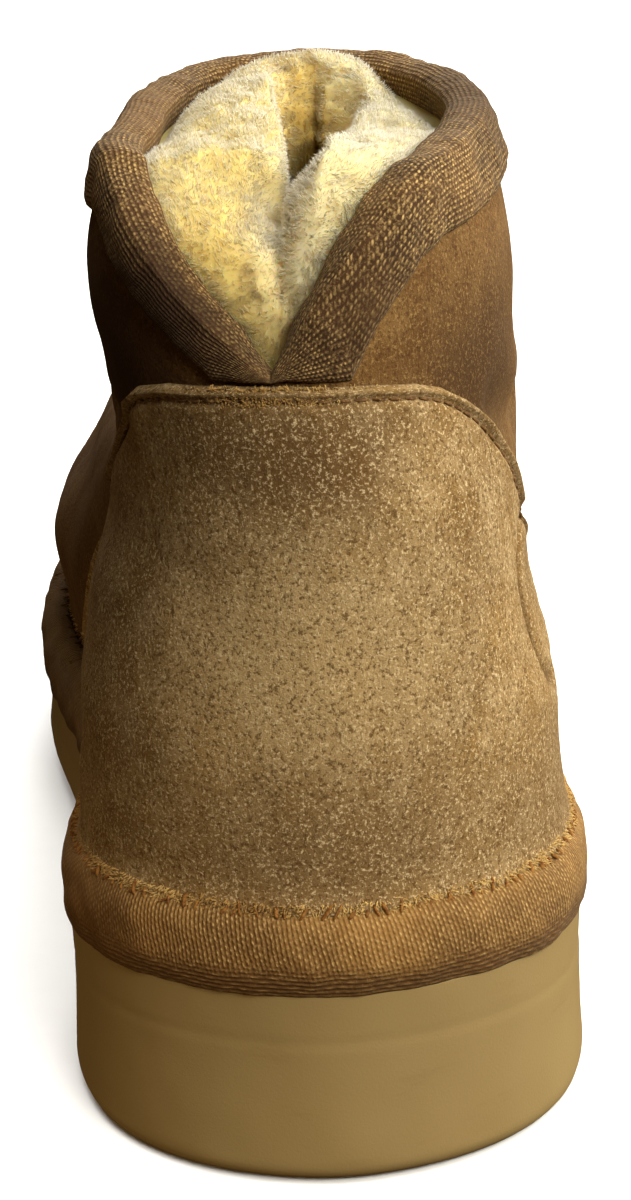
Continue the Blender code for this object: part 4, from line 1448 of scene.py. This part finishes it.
def build_edge_stitches():
    """Upright overcast stitches where the suede meets the rand, all round the foot."""
    fine = around(3000)
    ring = outline_at(fine, -SEAM_INSET)
    along = run_along(np.vstack([ring, ring[:1]]))
    count = round(along[-1] / EDGE_STITCH)
    random = np.random.default_rng(71)
    place = (np.arange(count) + random.uniform(-0.42, 0.42, count)) * along[-1] / count
    turn = np.interp(place, along, np.append(fine, 1.0))
    low = on_sole(turn, -0.9, RAND_HEIGHT - 1.25)
    at_heel = ramp(0.30 - np.abs(from_heel(turn)), 0.08)
    slant = random.uniform(-0.002, 0.003, count)
    rise = 0.4 + 0.8 * at_heel + random.uniform(-0.8, 0.6, count)
    high, outward = seam_points(turn + slant, rise)
    radius = (0.6 + 0.4 * at_heel[:, None]) * random.uniform(0.18, 0.38, count)[:, None]
    add_stitches("edge_stitches", low, high, outward, radius, 0.25, EDGE_THREAD)


def add_fuzz(name, random, root, outward, length, thickness):
    """Short tangled fibres, rooted a little under the surface."""
    add_strands(name, random, root - 0.3 * outward, outward, length, thickness, EDGE_FUZZ, 3.0, 0.9)


def build_edge_fuzz():
    """Wool and nap that stand out of the seam over the rand, and out of the overlay's edge."""
    random = np.random.default_rng(72)
    count = EDGE_FUZZ_COUNT
    near = random.uniform(size=count) < 0.6
    turn = np.where(near, random.uniform(-0.2, 0.2, count), random.uniform(0.0, 1.0, count))
    root, outward = seam_points(turn, random.uniform(-0.2, 1.6, count))
    outward = unit(outward + np.array([0.0, 0.0, -0.3]))
    add_fuzz("edge_fuzz", random, root, outward, random.uniform(0.5, 1.4, count), 0.12)
    count = OVERLAY_FUZZ_COUNT
    turn = NOTCH_TURN + 0.024 * random.normal(size=count)
    level = level_at_height(turn, counter_height(turn) - random.uniform(-0.3, 2.6, count))
    outward = unit(upper_normal(turn, level) + np.array([0.0, 0.0, 0.35]))
    length = random.uniform(0.3, 0.8, count)
    add_fuzz("overlay_fuzz", random, off_upper(turn, level, COUNTER_FACE), outward, length, 0.10)


def build_counter_stitches():
    """Machine stitches in the groove along the overlay's edge."""
    path, normals = counter_edge_path()
    inward = unit(np.cross(unit(np.gradient(path, axis=0)), normals))
    inward *= np.where(inward[:, 2:] > 0, -1.0, 1.0)
    line = path + inward * STITCH_INSET
    along = run_along(line)
    start = np.arange(3.0, along[-1] - 6.0, COUNTER_STITCH)
    outward = sampled(start, along, normals)
    low = sampled(start, along, line)
    high = sampled(start + COUNTER_STITCH - COUNTER_STITCH_GAP, along, line)
    proud = (COUNTER_FACE - 0.42 + suede_relief(low))[:, None] * outward
    add_stitches("counter_stitches", low + proud, high + proud, outward, 0.26, 0.25, THREAD)


# ---------------------------------------------------------------- stage
FLOOR_RADIUS = 1.7  # as far as the floor light reaches evenly
BACKDROP_RADIUS = 6.0
WORLD_STRENGTH = 0.09
SOLE_LIGHT_SPREAD = 14.0  # degrees
BOOT_MIDDLE = (0.0, -0.08, 0.07)
# columns: name, place, aim, width, height, power, tint
LIGHTS = (
    ("key", (0.80, 0.02, 0.38), BOOT_MIDDLE, 1.1, 0.7, 12.0, (1.0, 0.95, 0.84)),
    ("over_camera", (0.46, -0.88, 0.78), BOOT_MIDDLE, 0.7, 0.5, 15.0, (1.0, 0.97, 0.90)),
    ("overhead", (0.05, 0.05, 1.1), BOOT_MIDDLE, 0.7, 0.7, 5.0, (1.0, 0.97, 0.90)),
    ("sole_light", (-0.50, -0.60, 0.03), (-0.01, -0.12, 0.012), 0.25, 0.03, 0.016, (1.0, 0.72, 0.38)),
    ("toe_fill", (0.30, 1.2, 0.7), (0.0, 0.1, 0.03), 0.8, 0.6, 9.0, (1.0, 1.0, 1.0)),
    ("floor_light", (0.0, 0.2, 2.5), (0.0, 0.2, 0.0), 3.0, 3.0, 110.0, (1.0, 1.0, 1.0)),
)
CAMERA_TURN = -1.5  # degrees round from straight behind, towards the inner side
CAMERA_AWAY = 500.0
CAMERA_HEIGHT = 251.0
CAMERA_DOWN = 19.2  # degrees
CAMERA_ROLL = 1.7  # degrees
CAMERA_LENS = 100.2
CAMERA_AIM_Y = 50.0  # what it turns round, from the back of the sole


def link(name, data):
    made = bpy.data.objects.new(name, data)
    bpy.context.scene.collection.objects.link(made)
    return made


def area_light(name, place, aim, width, height, power, tint):
    """A rectangular light that faces its aim."""
    light = bpy.data.lights.new(name, "AREA")
    light.shape = "RECTANGLE"
    light.size, light.size_y = width, height
    light.energy = power
    light.color = tint
    lamp = link(name, light)
    lamp.location = place
    lamp.rotation_mode = "QUATERNION"
    lamp.rotation_quaternion = (Vector(aim) - Vector(place)).to_track_quat("-Z", "Y")
    return lamp


def stage_piece(name, material):
    """The last added mesh, as part of the stage, which sends no light back to the boot."""
    piece = bpy.context.object
    piece.name = name
    piece.data.materials.append(material)
    piece.visible_diffuse = False
    piece.visible_glossy = False
    return piece


def build_stage():
    """Pale floor and background, lit mostly from the outer side, with a dim warm world."""
    bpy.ops.mesh.primitive_circle_add(vertices=96, radius=FLOOR_RADIUS, fill_type="NGON")
    paper, tree = new_finish("floor_paper", 0.9)
    grain = noise(millimetres(tree), 3.0, 2.0)
    feed("Base Color", blend(grain, (0.83, 0.83, 0.82), (0.86, 0.86, 0.85)))
    floor = stage_piece("floor", paper)
    bpy.ops.mesh.primitive_uv_sphere_add(segments=48, ring_count=24, radius=BACKDROP_RADIUS)
    bright = {
        "Base Color": opaque((0.0, 0.0, 0.0)),
        "Emission Color": opaque((0.95, 0.95, 0.94)),
        "Emission Strength": 1.0,
    }
    backdrop = stage_piece("backdrop", new_finish("backdrop", 1.0, more=bright)[0])
    backdrop.visible_shadow = False
    backdrop.visible_transmission = False
    world = bpy.data.worlds.new("studio")
    world.use_nodes = True
    background = world.node_tree.nodes["Background"]
    background.inputs["Color"].default_value = opaque((1.0, 0.64, 0.28))
    background.inputs["Strength"].default_value = WORLD_STRENGTH
    bpy.context.scene.world = world
    lamps = {row[0]: area_light(*row) for row in LIGHTS}
    lamps["sole_light"].data.spread = math.radians(SOLE_LIGHT_SPREAD)
    lit = bpy.data.collections.new("lit_by_floor_light")
    lit.objects.link(floor)
    lamps["floor_light"].light_linking.receiver_collection = lit
    bpy.context.scene.view_settings.view_transform = "Standard"


def build_camera():
    """Behind the heel and above it, turned and rolled as named above."""
    turn, down, roll = (math.radians(a) for a in (CAMERA_TURN, CAMERA_DOWN, CAMERA_ROLL))
    behind = Vector((math.sin(turn), -math.cos(turn), 0.0))
    ahead = -behind * math.cos(down) - Vector((0.0, 0.0, math.sin(down)))
    right = Vector((math.cos(turn), math.sin(turn), 0.0))
    up = right.cross(ahead)
    rolled_right = right * math.cos(roll) - up * math.sin(roll)
    rolled_up = right * math.sin(roll) + up * math.cos(roll)
    place = behind * CAMERA_AWAY + Vector((0.0, 0.0, CAMERA_HEIGHT))
    place = Vector(part_frame((0.0, CAMERA_AIM_Y, 0.0))) + place * METRES_PER_MM
    data = bpy.data.cameras.new("camera")
    data.lens = CAMERA_LENS
    camera = link("camera", data)
    axes = Matrix((rolled_right, rolled_up, -ahead)).transposed().to_4x4()
    camera.matrix_world = Matrix.Translation(place) @ axes
    bpy.context.scene.camera = camera


build_camera()
build_stage()
build_sole()
build_rand()
build_upper()
build_counter()
build_binding()
build_fleece_base()
build_fleece_pile("fleece_pile_collar", 81, 19500, 0.0, 0.22)
build_fleece_pile("fleece_pile_edge", 101, 4000, 0.0, 0.03)
build_fleece_pile("fleece_pile_shaft", 91, 17500, 0.18, 0.52)
build_insole()
build_edge_stitches()
build_edge_fuzz()
build_counter_stitches()
